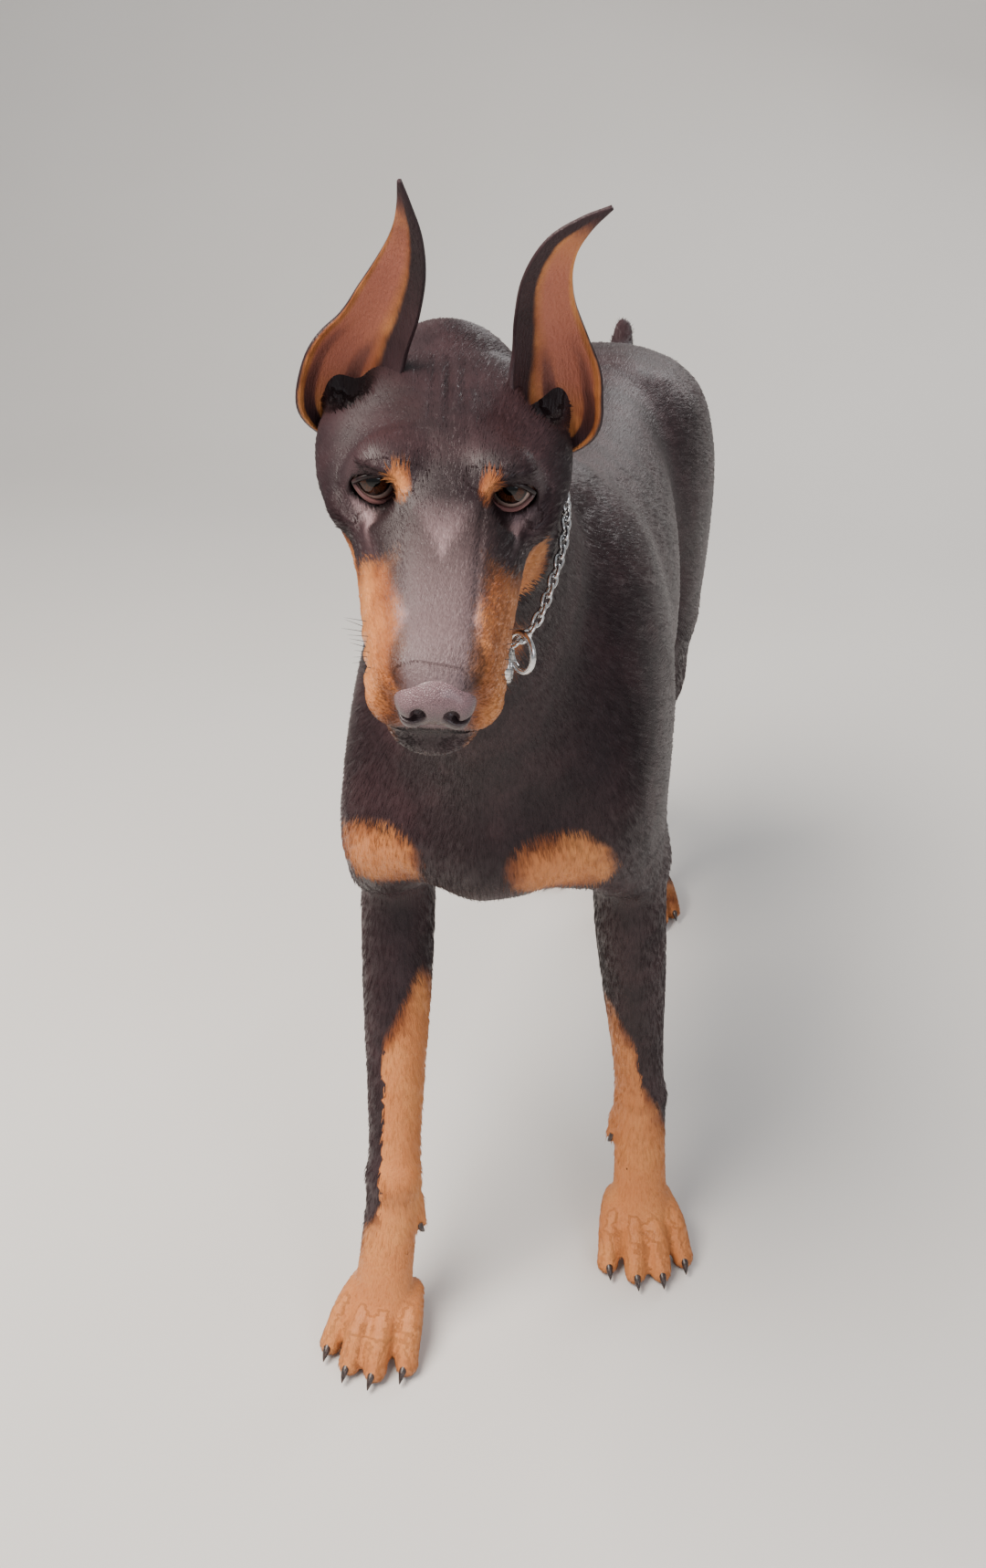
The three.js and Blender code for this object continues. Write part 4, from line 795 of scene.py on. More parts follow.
def wet_eye(colours):
    """A dog's eye: a clear wet cornea over a brown iris with radial fibres, a black pupil and a thin rim
    of sclera. Each ring of colour starts at an angle from the gaze, in degrees."""
    material, node = fresh("wet_eye")
    angle = node("ShaderNodeAttribute", out="Fac", attribute_name="gaze")
    around = node("ShaderNodeAttribute", out="Vector", attribute_name="around")
    fibre = node("ShaderNodeTexNoise", {"Vector": around, "Scale": 9.0, "Detail": 3.0})
    base = colours.iris
    for value, low, high, colour in ((fibre, 0.35, 0.7, "#1d0e08"), (angle, 31.0, 42.0, "#0c0706"),
                                     (angle, 19.0, 16.5, "#020202"), (angle, 42.5, 46.0, "#a08a80"),
                                     (angle, 52.0, 66.0, "#7c4a42")):
        share = node("ShaderNodeMapRange", {"Value": value, "From Min": low, "From Max": high}, **SMOOTH)
        base = node("ShaderNodeMix", {SHARE: share, UNDER: base, OVER: colour}, MIXED, **COLOURS)
    finish = {"Base Color": base, "Roughness": 0.06, "IOR": 1.38, "Specular IOR Level": 0.3,
              "Coat Weight": 0.35, "Coat Roughness": 0.04}
    node("ShaderNodeOutputMaterial", {"Surface": node("ShaderNodeBsdfPrincipled", finish)})
    return material


def claw_horn(colours):
    """Claw: dark keratin, smooth and slightly translucent, with fine streaks 0.5 mm apart along it."""
    material, node = fresh("claw_horn")
    place = node("ShaderNodeTexCoord", out="Object")
    grain = node("ShaderNodeTexNoise", {"Vector": place, "Scale": 600.0, "Detail": 2.0})
    share = node("ShaderNodeMapRange", {"Value": grain, "From Min": 0.35, "From Max": 0.7}, **SMOOTH)
    base = node("ShaderNodeMix", {SHARE: share, UNDER: colours.claw, OVER: "#4a3a34"}, MIXED, **COLOURS)
    bump = node("ShaderNodeBump", {"Height": grain, "Strength": 0.2, "Distance": 0.0003})
    finish = {"Base Color": base, "Normal": bump, "Roughness": 0.36, "IOR": 1.54}
    node("ShaderNodeOutputMaterial", {"Surface": node("ShaderNodeBsdfPrincipled", finish)})
    return material


def plated_steel():
    """Nickel-plated steel wire: bright, with fine scuffs 2 mm across that dull it where links rub."""
    material, node = fresh("plated_steel")
    place = node("ShaderNodeTexCoord", out="Object")
    scuff = node("ShaderNodeTexNoise", {"Vector": place, "Scale": 500.0, "Detail": 3.0})
    share = node("ShaderNodeMapRange", {"Value": scuff, "From Min": 0.4, "From Max": 0.75}, **SMOOTH)
    base = node("ShaderNodeMix", {SHARE: share, UNDER: "#d4d5d6", OVER: "#9c9894"}, MIXED, **COLOURS)
    rough = node("ShaderNodeMath", {0: scuff, 1: 0.25, 2: 0.08}, operation="MULTIPLY_ADD")
    finish = {"Base Color": base, "Roughness": rough, "Metallic": 1.0}
    node("ShaderNodeOutputMaterial", {"Surface": node("ShaderNodeBsdfPrincipled", finish)})
    return material


def lid_margin():
    """Lid margin: thin dark pigmented skin, moist, turning pink towards the inner corner."""
    material, node = fresh("lid_margin")
    place = node("ShaderNodeTexCoord", out="Object")
    pink = node("ShaderNodeAttribute", out="Fac", attribute_name="pink")
    cloud = node("ShaderNodeTexNoise", {"Vector": place, "Scale": 300.0, "Detail": 2.0})
    mottle = node("ShaderNodeMapRange", {"Value": cloud, "From Min": 0.35, "From Max": 0.7}, **SMOOTH)
    base = "#1a1011"
    for share, colour in ((mottle, "#2c1c1c"), (pink, "#a87672")):
        base = node("ShaderNodeMix", {SHARE: share, UNDER: base, OVER: colour}, MIXED, **COLOURS)
    finish = {"Base Color": base, "Roughness": 0.3, "IOR": 1.4}
    node("ShaderNodeOutputMaterial", {"Surface": node("ShaderNodeBsdfPrincipled", finish)})
    return material


def whisker_hair():
    """Whisker: a single stiff hair, dark and glossy, with paler stretches."""
    material, node = fresh("whisker_hair")
    place = node("ShaderNodeTexCoord", out="Object")
    cloud = node("ShaderNodeTexNoise", {"Vector": place, "Scale": 200.0})
    base = node("ShaderNodeMix", {SHARE: cloud, UNDER: "#120c0c", OVER: "#2b2221"}, MIXED, **COLOURS)
    finish = {"Base Color": base, "Roughness": 0.35, "IOR": 1.55}
    node("ShaderNodeOutputMaterial", {"Surface": node("ShaderNodeBsdfPrincipled", finish)})
    return material


def paper_floor(colour):
    """Studio paper: matt and pale, in very soft clouds half a metre across."""
    material, node = fresh("matt_paper_floor")
    place = node("ShaderNodeTexCoord", out="Object")
    cloud = node("ShaderNodeTexNoise", {"Vector": place, "Scale": 2.0, "Detail": 3.0})
    base = node("ShaderNodeMix", {SHARE: cloud, UNDER: colour, OVER: "#d2cfcb"}, MIXED, **COLOURS)
    finish = {"Base Color": base, "Roughness": 0.75}
    node("ShaderNodeOutputMaterial", {"Surface": node("ShaderNodeBsdfPrincipled", finish)})
    return material


# What a user would change

def hex_property(name, description, default):
    return bpy.props.StringProperty(name=name, description=description, default=default)


def length_property(name, description, default):
    return bpy.props.FloatProperty(name=name, description=description, default=default, min=0.0,
                                   subtype="DISTANCE", unit="LENGTH")


def power_property(name, description, default):
    return bpy.props.FloatProperty(name=name, description=description, default=default, min=0.0,
                                   subtype="POWER", unit="POWER")


class DogCoat(bpy.types.PropertyGroup):
    """Colours of the coat and the bare parts, as sRGB hex, and the coat's sizes."""
    coat: hex_property("Coat", "Dark hair of the back, neck and legs", "#291d20")
    coat_brown: hex_property("Thin coat", "Brown cast where the dark hair is thin", "#38272a")
    rust: hex_property("Rust", "Middle of the rust marks", "#c07a48")
    rust_edge: hex_property("Rust edge", "Where rust meets the dark hair", "#7c4526")
    rust_pale: hex_property("Pale rust", "Lightest rust, on the paws and cheeks", "#cb8750")
    # Painted sheen: the pale colour laid on the muzzle's bridge and under the eyes
    bridge: hex_property("Bridge", "Thin greyish hair of the muzzle's bridge", "#b3989a")
    bare_skin: hex_property("Bare skin", "Skin inside the ears", "#b06a58")
    nose: hex_property("Nose", "Nose leather", "#7a6064")
    iris: hex_property("Iris", "Brown of the iris", "#4a2614")
    claw: hex_property("Claws", "Horn of the claws", "#1d1615")
    depth: length_property("Coat depth", "How far the skin lies under the hair", 0.0009)
    tuft: length_property("Tuft length", "Length of a tuft on the trunk", 0.009)
    tufts: bpy.props.IntProperty(name="Tufts", description="Tufts in each coat piece", default=46000, min=0)


class DogFittings(bpy.types.PropertyGroup):
    """Sizes of the parts set on the skin."""
    eye: length_property("Eyeball", "Radius of an eyeball", 0.0115)
    whisker: length_property("Whisker", "Longest whisker", 0.016)
    link: length_property("Chain link", "Length of one link of the collar", 0.0082)
    wire: length_property("Wire", "Radius of the chain's wire", 0.00105)


class DogStage(bpy.types.PropertyGroup):
    """Floor, lights and camera."""
    floor: hex_property("Floor", "Colour of the floor", "#d9d7d4")
    key: power_property("Key light", "Power of the soft light above the dog", 150.0)
    fill: power_property("Fill light", "Power of the light beside the camera", 22.0)
    sky: bpy.props.FloatProperty(name="Sky", description="Strength of the even light", default=0.50, min=0.0)
    lens: bpy.props.FloatProperty(name="Lens", description="Focal length on a 36 mm frame", default=31.43,
                                  unit="CAMERA")


# The skin: relief, markings and nets

def streaks(p, lie, width=1.2, length=14.0):
    """Coordinates for hair streaks: along the lie over the streak's length, across it over its width, mm."""
    trunk = (np.abs(lie[:, 1]) > np.abs(lie[:, 2]))[:, None]
    return np.where(trunk, p / vec(width, length, width), p / vec(width, width, length))


def relief(p):
    """Small folds and muscles, mm outwards: a sum of bells along lines, height exp(-(offset/width)^2),
    some of them times a wave cos(2 pi t/length)."""
    x, y, z = in_head(p).T
    across, back, height = p.T
    bell = lambda t, width: np.exp(-(t / width) ** 2)
    wave = lambda t, length: np.cos(2 * np.pi * t / length)
    crown = np.clip((z + 6) / 8, 0, 1) * (y < 80)
    out = -1.1 * bell(x, 4.0) * bell(y - 12, 34) * crown                # furrow between the brows
    out += -1.9 * wave(x, 7.4) * bell(x, 11) * bell(y - 54, 24) * crown     # forehead wrinkles
    out += 0.9 * wave(back + 0.42 * (height - 500), 33) * bell(back - 20, 95) * bell(height - 500, 70) * (
        (np.abs(across) > 40) & (np.abs(across) < 125))                 # ribs
    out += 0.5 * wave(back, 24) * bell(across, 6) * (height > 600) * (back > -120)      # spine
    pads = bell(np.abs(x) - 32, 9) * bell(z + 32, 10) * bell(y + 78, 20)
    out += wave(y + 60 + 0.6 * z, 13) * pads                            # whisker pads
    out += 1.6 * bell(across, 9) * (back < -230) * bell(height - 490, 60) * (z < -90)   # breastbone
    for s in (1, -1):
        out += 0.8 * bell(x - s * (15 - 0.12 * y), 2.6) * bell(y - 22, 22) * crown      # beside the furrow
        e = EYE_AT * vec(s, 1, 1)
        ring = np.hypot((x - e[0] - s * 1.5) / 17.5, (z - e[2] - 1.5) / 12.5)
        over, under = np.clip((z - e[2] + 4) / 6, 0, 1), np.clip((e[2] - 2 - z) / 5, 0, 1)
        folds = 1.0 * bell(ring - 1, 0.09) * over + 0.8 * bell(ring - 1.02, 0.08) * under
        out -= folds * (y < 8)                                          # folds over and under the lids
        side = across * s > 25
        blade = back + 196 + 0.55 * (height - 560)
        behind = back + 132 - 0.25 * (height - 480)
        flank = back - 196 + 0.35 * (height - 480)
        out += 2.2 * bell(blade, 9) * bell(height - 575, 55) * side     # spine of the shoulder blade
        out -= 2.4 * bell(behind, 15) * bell(height - 470, 75) * side   # hollow behind the shoulder
        out -= 2.2 * bell(flank, 13) * bell(height - 470, 70) * side * (back > 80)
    return out


# The CAD nodes that the skin takes the place of
PAIRS = ("ear_", "fore_leg_", "fore_paw_", "hind_thigh_", "hind_shank_", "hind_paw_")
FLESH = ("torso", "neck", "tail", "head", *(name + side for name in PAIRS for side in SIDES))
CELLS, QUICK_CELLS = (5.5, 1.8, 2.7), (8.0, 3.2, 4.0)   # net cells of the body, head and paws, mm
BODY_BOX = ((-140, -480, -6), (140, 476, 790))          # low and high corners of the body's net, mm
HEAD_BOX = ((-80, -610, 630), (110, -290, 840))
HEAD_FROM = 226.0           # rise along the neck where the fine net of the head takes over, mm
PAW_TOP = {"fore": 84.0, "hind": 70.0}                  # height where a paw's net ends, mm
SHARED = {}                 # the skin's points, quads and normals, on which the coat is laid


def nets_of_skin(cells):
    """The skin as nets of three finenesses that share one field and overlap by a cell, so no seam shows."""
    body, face, paw = cells
    points, quads = netted(BODY_FORMS, *BODY_BOX, body)
    centre = points[quads].mean(1)
    keep = rise_of(centre) < HEAD_FROM + 4
    paws = []
    for kind, legs in LEGS.items():
        for *_, start, toes in legs.values():
            ours = (np.abs(centre[:, 0] - toes[0]) < 70) & (np.abs(centre[:, 1] - toes[1]) < 160)
            keep &= ~(ours & (centre[:, 2] < PAW_TOP[kind] - 2))
            low = np.array([min(start[0], toes[0]) - 60, toes[1] - 20, -8])
            high = np.array([max(start[0], toes[0]) + 60, start[1] + 60, PAW_TOP[kind] + 8])
            paws.append((low, high, PAW_TOP[kind]))
    wanted = [(points, quads[keep], BODY_FORMS)]
    points, quads = netted(HEAD_FORMS, *HEAD_BOX, face)
    wanted.append((points, quads[rise_of(points[quads].mean(1)) > HEAD_FROM], HEAD_FORMS))
    for low, high, top in paws:
        points, quads = netted(BODY_FORMS, low, high, paw)
        centre = points[quads].mean(1)
        inside = np.all((centre > low + paw) & (centre < high - paw), axis=1) & (centre[:, 2] < top)
        wanted.append((points, quads[inside], BODY_FORMS))
    parts, all_normals = [], []
    for points, quads, forms in wanted:
        used, quads = np.unique(quads, return_inverse=True)
        points = points[used]
        normals = slope(forms, points)
        points = points - normals * np.clip(field(forms, points), -1.5, 1.5)[:, None]
        parts.append((points, quads.reshape(-1, 4)))
        all_normals.append(normals)
    return *joined(parts), np.vstack(all_normals)


def eye_frame(s):
    """Centre, sideways, gaze and up of an eye: it looks forward, turned 20 degrees outward."""
    across = HEAD_TURN @ turn("z", -s * 20) @ vec(s, 0, 0)
    gaze = HEAD_TURN @ turn("z", -s * 20) @ vec(0, -1, 0)
    return on_head(EYE_AT * vec(s, 1, 1)), across, gaze, HEAD_TURN @ vec(0, 0, 1)


def painted_sheen_at(p):
    """How much pale sheen is painted on the muzzle's bridge, and in a crescent under each eye: bells across
    and along the bridge, fading towards the brows.
    """
    q = in_head(p)
    along = np.interp(q[:, 1], [-126, -95, -65, -40, -20], [0.9, 1.0, 0.75, 0.35, 0.0])
    pale = along * np.exp(-(q[:, 0] / 19) ** 4) * np.clip((q[:, 2] + 40) / 16, 0, 1) * (rise_of(p) > 200)
    for s in (1, -1):
        centre, across, gaze, up = eye_frame(s)
        off = p - centre
        a, b = off @ across, off @ up
        # A crescent of painted sheen under each eye
        ring = np.hypot(a / 13.5, b / 9.8)
        under = np.clip((1.0 - b - 0.35 * a) / 5, 0, 1) * ((off @ gaze) > 0)
        pale = np.maximum(pale, 0.6 * np.exp(-((ring - 1.05) / 0.16) ** 2) * under)
    return pale


def dark_skin_and_shade(p):
    """Dark skin of the lips, lids and pads, with painted shade in the ears' cups: bells round the mouth line,
    the eyes and the cups, a spot below each eye's inner corner, and the soles.
    """
    q = in_head(p)
    x, y, z = np.abs(q[:, 0]), q[:, 1], q[:, 2]
    mouth = np.interp(y, *MOUTH_LINE)
    dark = np.exp(-((z - mouth) / 2.6) ** 2) * (y < -14) * (y > -126) * (rise_of(p) > 200)
    for s in (1, -1):
        centre, across, gaze, up = eye_frame(s)
        off = p - centre
        ring = np.hypot((off @ across) / 12.2, (off @ up) / 8.8)
        dark = np.maximum(dark, 0.8 * np.clip((1.25 - ring) / 0.3, 0, 1) * ((off @ gaze) > 0))
        # Painted shade in the ear's cup, the hollow at its root
        cup = np.linalg.norm((q - (EAR_CUP + CUP_OFF) * vec(s, 1, 1)) / vec(15, 18, 22), axis=1)
        dark = np.maximum(dark, 0.8 * np.clip((1.1 - cup) / 0.3, 0, 1))
        crease = p - centre - across * -17 + up * 6
        dark = np.maximum(dark, 0.45 * np.exp(-(np.linalg.norm(crease, axis=1) / 11) ** 2))    # darker below the eye's inner corner
    sole = np.clip((5 - p[:, 2]) / 3, 0, 1)
    return np.clip(np.maximum(dark * 0.85, sole * 0.9), 0, 1)


def face_out(piece):
    """Turn the faces of a closed shell outwards where its volume comes out negative."""
    mesh = piece.data
    corners = np.empty(len(mesh.vertices) * 3, np.float32)
    mesh.vertices.foreach_get("co", corners)
    corners = corners.reshape(-1, 3)
    index = np.empty(len(mesh.loops), np.int32)
    mesh.loops.foreach_get("vertex_index", index)
    starts = np.empty(len(mesh.polygons), np.int32)
    mesh.polygons.foreach_get("loop_start", starts)
    a, b, c = (corners[index[starts + k]] - corners.mean(0) for k in range(3))
    if (a * np.cross(b, c)).sum() < 0:
        mesh.flip_normals()


class SkinOperator(bpy.types.Operator):
    """Build the skin: one field netted finely on the head and paws, with its markings"""
    bl_idname = "dog.skin"
    bl_label = "Skin"

    def execute(self, context):
        coat = context.scene.dog_coat
        points, quads, normals = nets_of_skin(CELLS)
        shaped = points + normals * (relief(points) - coat.depth / MM)[:, None]
        shaped[:, 2] = np.maximum(shaped[:, 2], 0.35)           # the soles rest just over the floor
        values = {"rust": rust_depth(points), "streak": streaks(points, lie_of(points, normals)),
                  "dark": dark_skin_and_shade(points), "painted_sheen": painted_sheen_at(points)}
        finish = short_coat("short_satin_coat", coat)
        put_mesh("skin", shaped, quads, finish, FLESH, values=values)
        SHARED["skin"] = (shaped, quads, normals)
        return {"FINISHED"}


class EarOperator(bpy.types.Operator):
    """Build the cropped, upright ears as bowed sheets with bare pink insides"""
    bl_idname = "dog.ears"
    bl_label = "Ears"

    def execute(self, context):
        coat = context.scene.dog_coat
        finish = short_coat("ear_coat", coat)
        for name, s in SIDES.items():
            local, share, sign = ear_sheet(name)
            rows, rounds = share.shape
            points = on_head(local.reshape(-1, 3))
            ends = points.reshape(rows, rounds, 3)[[0, -1]].mean(1)
            points = np.vstack([points, ends])
            quads = grid_faces(rows, rounds)
            ring, last = np.arange(rounds), (rows - 1) * rounds
            after = np.roll(ring, -1)
            foot, tip = np.full((2, rounds), rows * rounds) + [[0], [1]]
            faces = np.vstack([quads[:, [0, 1, 2]], quads[:, [0, 2, 3]], np.stack([after, ring, foot], 1),
                               np.stack([last + ring, last + after, tip], 1)])
            # Across the inside: dark hair next the skull, bare in the middle, a rust rim; low down, folds
            # painted as shade that dim the bare skin and the rust
            rise, across, within = np.linspace(0, 1, rows)[:, None], share * s, sign < 0
            ramp = lambda value, low, high: np.clip((value - low) / (high - low), 0, 1)
            middle = ramp(across, -0.30, 0.05) * ramp(across, 0.93, 0.83)
            bare = middle * within * ramp(rise, 0.95, 0.65) * ramp(rise, 0.10, 0.25)
            # Painted shade of folds: stripes that dim the pink skin and the rust low in the ear
            folds = np.clip(np.sin(9 * across + 5 * rise) * ramp(rise, 0.42, 0.22) * within, 0, 1)
            rust = ramp(across, -0.55, -0.15) * ramp(rise, 0.98, 0.68) * within * (1 - 1.2 * folds) * 16 - 8
            down = np.broadcast_to(HEAD_TURN @ -UP, points.shape)
            values = {"bare": [*(bare * (1 - 0.7 * folds)).ravel(), 0, 0], "rust": [*rust.ravel(), -8, -8],
                      "streak": streaks(points, down)}
            face_out(put_mesh("ear_" + name, points, faces, finish, values=values))
        return {"FINISHED"}


class FaceOperator(bpy.types.Operator):
    """Set the eyes, lid margins, nose leather and whiskers in the head"""
    bl_idname = "dog.face"
    bl_label = "Eyes, nose and whiskers"

    def execute(self, context):
        coat, fittings = context.scene.dog_coat, context.scene.dog_fittings
        radius = fittings.eye / MM
        eye_finish, lid_finish = wet_eye(coat), lid_margin()
        for name, s in SIDES.items():
            centre, across, gaze, up = eye_frame(s)
            look = unit(LOOKS_AT - centre)
            right = unit(np.cross(look, up))
            over = np.cross(right, look)
            # A ball, poles on the gaze, that swells at the cornea: r = R - 0.55 + 0.9 exp(-(angle / 30)^2)
            rows, rounds = 40, 48
            angle = np.linspace(0, np.pi, rows)[:, None] * np.ones(rounds)
            turned = np.ones((rows, 1)) * (np.arange(rounds) / rounds * 2 * np.pi)
            r = radius - 0.55 + 0.9 * np.exp(-(angle / np.radians(30)) ** 2)
            local = np.stack([np.sin(angle) * np.cos(turned), np.sin(angle) * np.sin(turned),
                              np.cos(angle)], -1)
            points = (centre + local @ np.stack([right, over, look]) * r[..., None]).reshape(-1, 3)
            fibres = np.stack([np.cos(turned), np.sin(turned), angle * 0.6], -1).reshape(-1, 3)
            values = {"gaze": np.degrees(angle).ravel(), "around": fibres}
            face_out(put_mesh("eye_%s_ball" % name, points, grid_faces(rows, rounds), eye_finish,
                              ("eye_" + name,), values=values))
            # Lid margin: an almond on a sphere just over the ball, b = height (1 - |a/width|^2.4)^0.8
            t = np.linspace(0, 2 * np.pi, 97)[:-1]
            a = 11.4 * np.cos(t)
            share = np.clip(1 - np.abs(np.cos(t)) ** 2.4, 0, 1) ** 0.8
            b = np.where(np.sin(t) > 0, 7.9, -6.9) * share + 0.16 * a
            deep = np.sqrt(np.maximum(12.05 ** 2 - a ** 2 - b ** 2, 1))
            rim = centre + np.stack([a, b, deep], 1) @ np.stack([across, up, gaze])
            pink = np.clip((-a - 5.0) / 4, 0, 1) + 0.8 * np.clip(-np.sin(t) - 0.1, 0, 1)
            points, faces = tube(rim, 1.05 + 0.25 * (np.sin(t) > 0), 10, True, gaze)
            values = {"pink": np.repeat(np.clip(pink, 0, 1), 10)}
            face_out(put_mesh("lid_" + name, points, faces, lid_finish, values=values))
        self.nose(coat)
        self.whiskers(fittings)
        return {"FINISHED"}

    def nose(self, coat):
        """Nose leather: an egg with flared wings, cut by two comma nostrils and the groove between them."""
        forms = [head_egg((0, -112, -17.5), (16.5, 11.5, 12.8), 0), head_egg((0, -106, -11), (14, 9, 5), 5)]
        for s in (1, -1):
            forms += [head_egg((s * 11, -115, -18), (5, 7, 6), 5),
                      head_egg((s * 9.5, -117, -25), (5, 5.5, 4.2), 4)]
        for s in (1, -1):
            forms += [head_egg((s * 7.0, -124.5, -18.5), (3.5, 6.5, 3.7), 1.2, 0, True),
                      head_egg((s * 12.6, -119, -22), (5.6, 4.6, 1.25), 1.0, s * 34, True)]
        groove = [(0, -125.5, -14, 1.0, 0.55), (0, -124.5, -22, 1.2, 0.7), (0, -121, -31, 1.3, 0.8)]
        forms.append(head_limb(groove, 1.2, 4, True))
        centre = on_head((0, -113, -18))
        points, quads = netted(forms, centre - 26, centre + 26, 0.85)
        normals = slope(forms, points, 0.3)
        points = points - normals * np.clip(field(forms, points), -0.4, 0.4)[:, None]
        q = in_head(points)
        q[:, 0] = np.abs(q[:, 0])
        # Painted shade: dark in the nostrils' hollows and on the nose's underside
        nostril_shade = np.linalg.norm((q - vec(7.0, -121.5, -18.8)) / vec(4.2, 4.2, 4.4), axis=1)
        shade = 0.75 * np.clip((-14 - q[:, 2]) / 8, 0, 1)
        values = {"dark": np.maximum(np.clip(1.35 - nostril_shade, 0, 1), shade)}
        put_mesh("nose_tip", points, quads, nose_leather(coat), ("nose",), values=values)

    def whiskers(self, fittings):
        """Whiskers: tapering hairs in three rows of four on each lip, start + aim l t + bend l t^2 / 2."""
        random = np.random.default_rng(7)
        parts = []
        for s in (1, -1):
            for row in range(3):
                for k in range(4):
                    out, forth = random.normal(size=2)
                    aim = HEAD_TURN @ unit((s, 0.30 + 0.1 * k + 0.12 * out, -0.35 - 0.05 * row + 0.1 * forth))
                    start = on_head((s * 40, -96 + k * 9 + row * 2, -20 - row * 5.5))
                    for _ in range(12):                         # inwards until it meets the skin
                        off = max(float(field(HEAD_FORMS, start[None])[0]), -2)
                        start = start + HEAD_TURN @ vec(-s, 0, 0) * off * 0.9
                    length = fittings.whisker / MM * (0.45 + 0.13 * k) * random.uniform(0.75, 1.0)
                    t = np.linspace(0, 1, 7)[:, None]
                    bend = HEAD_TURN @ vec(0, 0.25, -0.3) * length
                    path = start + aim * (t * length - 1.5) + bend * t ** 2 * 0.5
                    parts.append(tube(path, 0.20 * (1 - 0.85 * t[:, 0]), 5))
        points, faces = joined(parts)
        put_mesh("whiskers", points, faces, whisker_hair())


class ClawOperator(bpy.types.Operator):
    """Set a curved horn claw in the end of every toe, and a dewclaw inside each foreleg"""
    bl_idname = "dog.claws"
    bl_label = "Claws"

    def execute(self, context):
        finish = claw_horn(context.scene.dog_coat)
        for kind, legs in LEGS.items():
            for name, (s, *_, start, toes) in legs.items():
                knuckles, ahead, side = paw_frame(start, toes, kind)
                parts = []
                for toe in TOES:
                    tip = toe_path(knuckles, ahead, side, *PAWS[kind][1:], toe)[3]
                    parts.append(self.claw(tip + ahead * 7, ahead, -UP, 1.0))
                if kind == "fore":
                    root = start + side * -s * 24 + ahead * 5 - UP * 42
                    aim = unit(ahead * 0.4 + side * -s * 0.35 - UP)
                    parts.append(self.claw(root + ahead * 1.5, aim, -ahead, 0.8))
                points, faces = joined(parts)
                put_mesh("claws_%s_%s" % (kind, name), points, faces, finish)
        return {"FINISHED"}

    def claw(self, root, ahead, curl, size):
        """A claw: a round section that shrinks as (1 - t^2.4)^0.75 along a bend, ahead t + curl t^2.2."""
        t = np.linspace(0, 1, 12)[:, None]
        path = root + ahead * (-5 + 14.5 * t) * size + curl * (-3.2 + 7.4 * t ** 2.2) * size
        radii = 3.3 * size * np.clip(1 - t[:, 0] ** 2.4, 0.04, 1) ** 0.75
        return tube(path, radii, 12, False, curl)


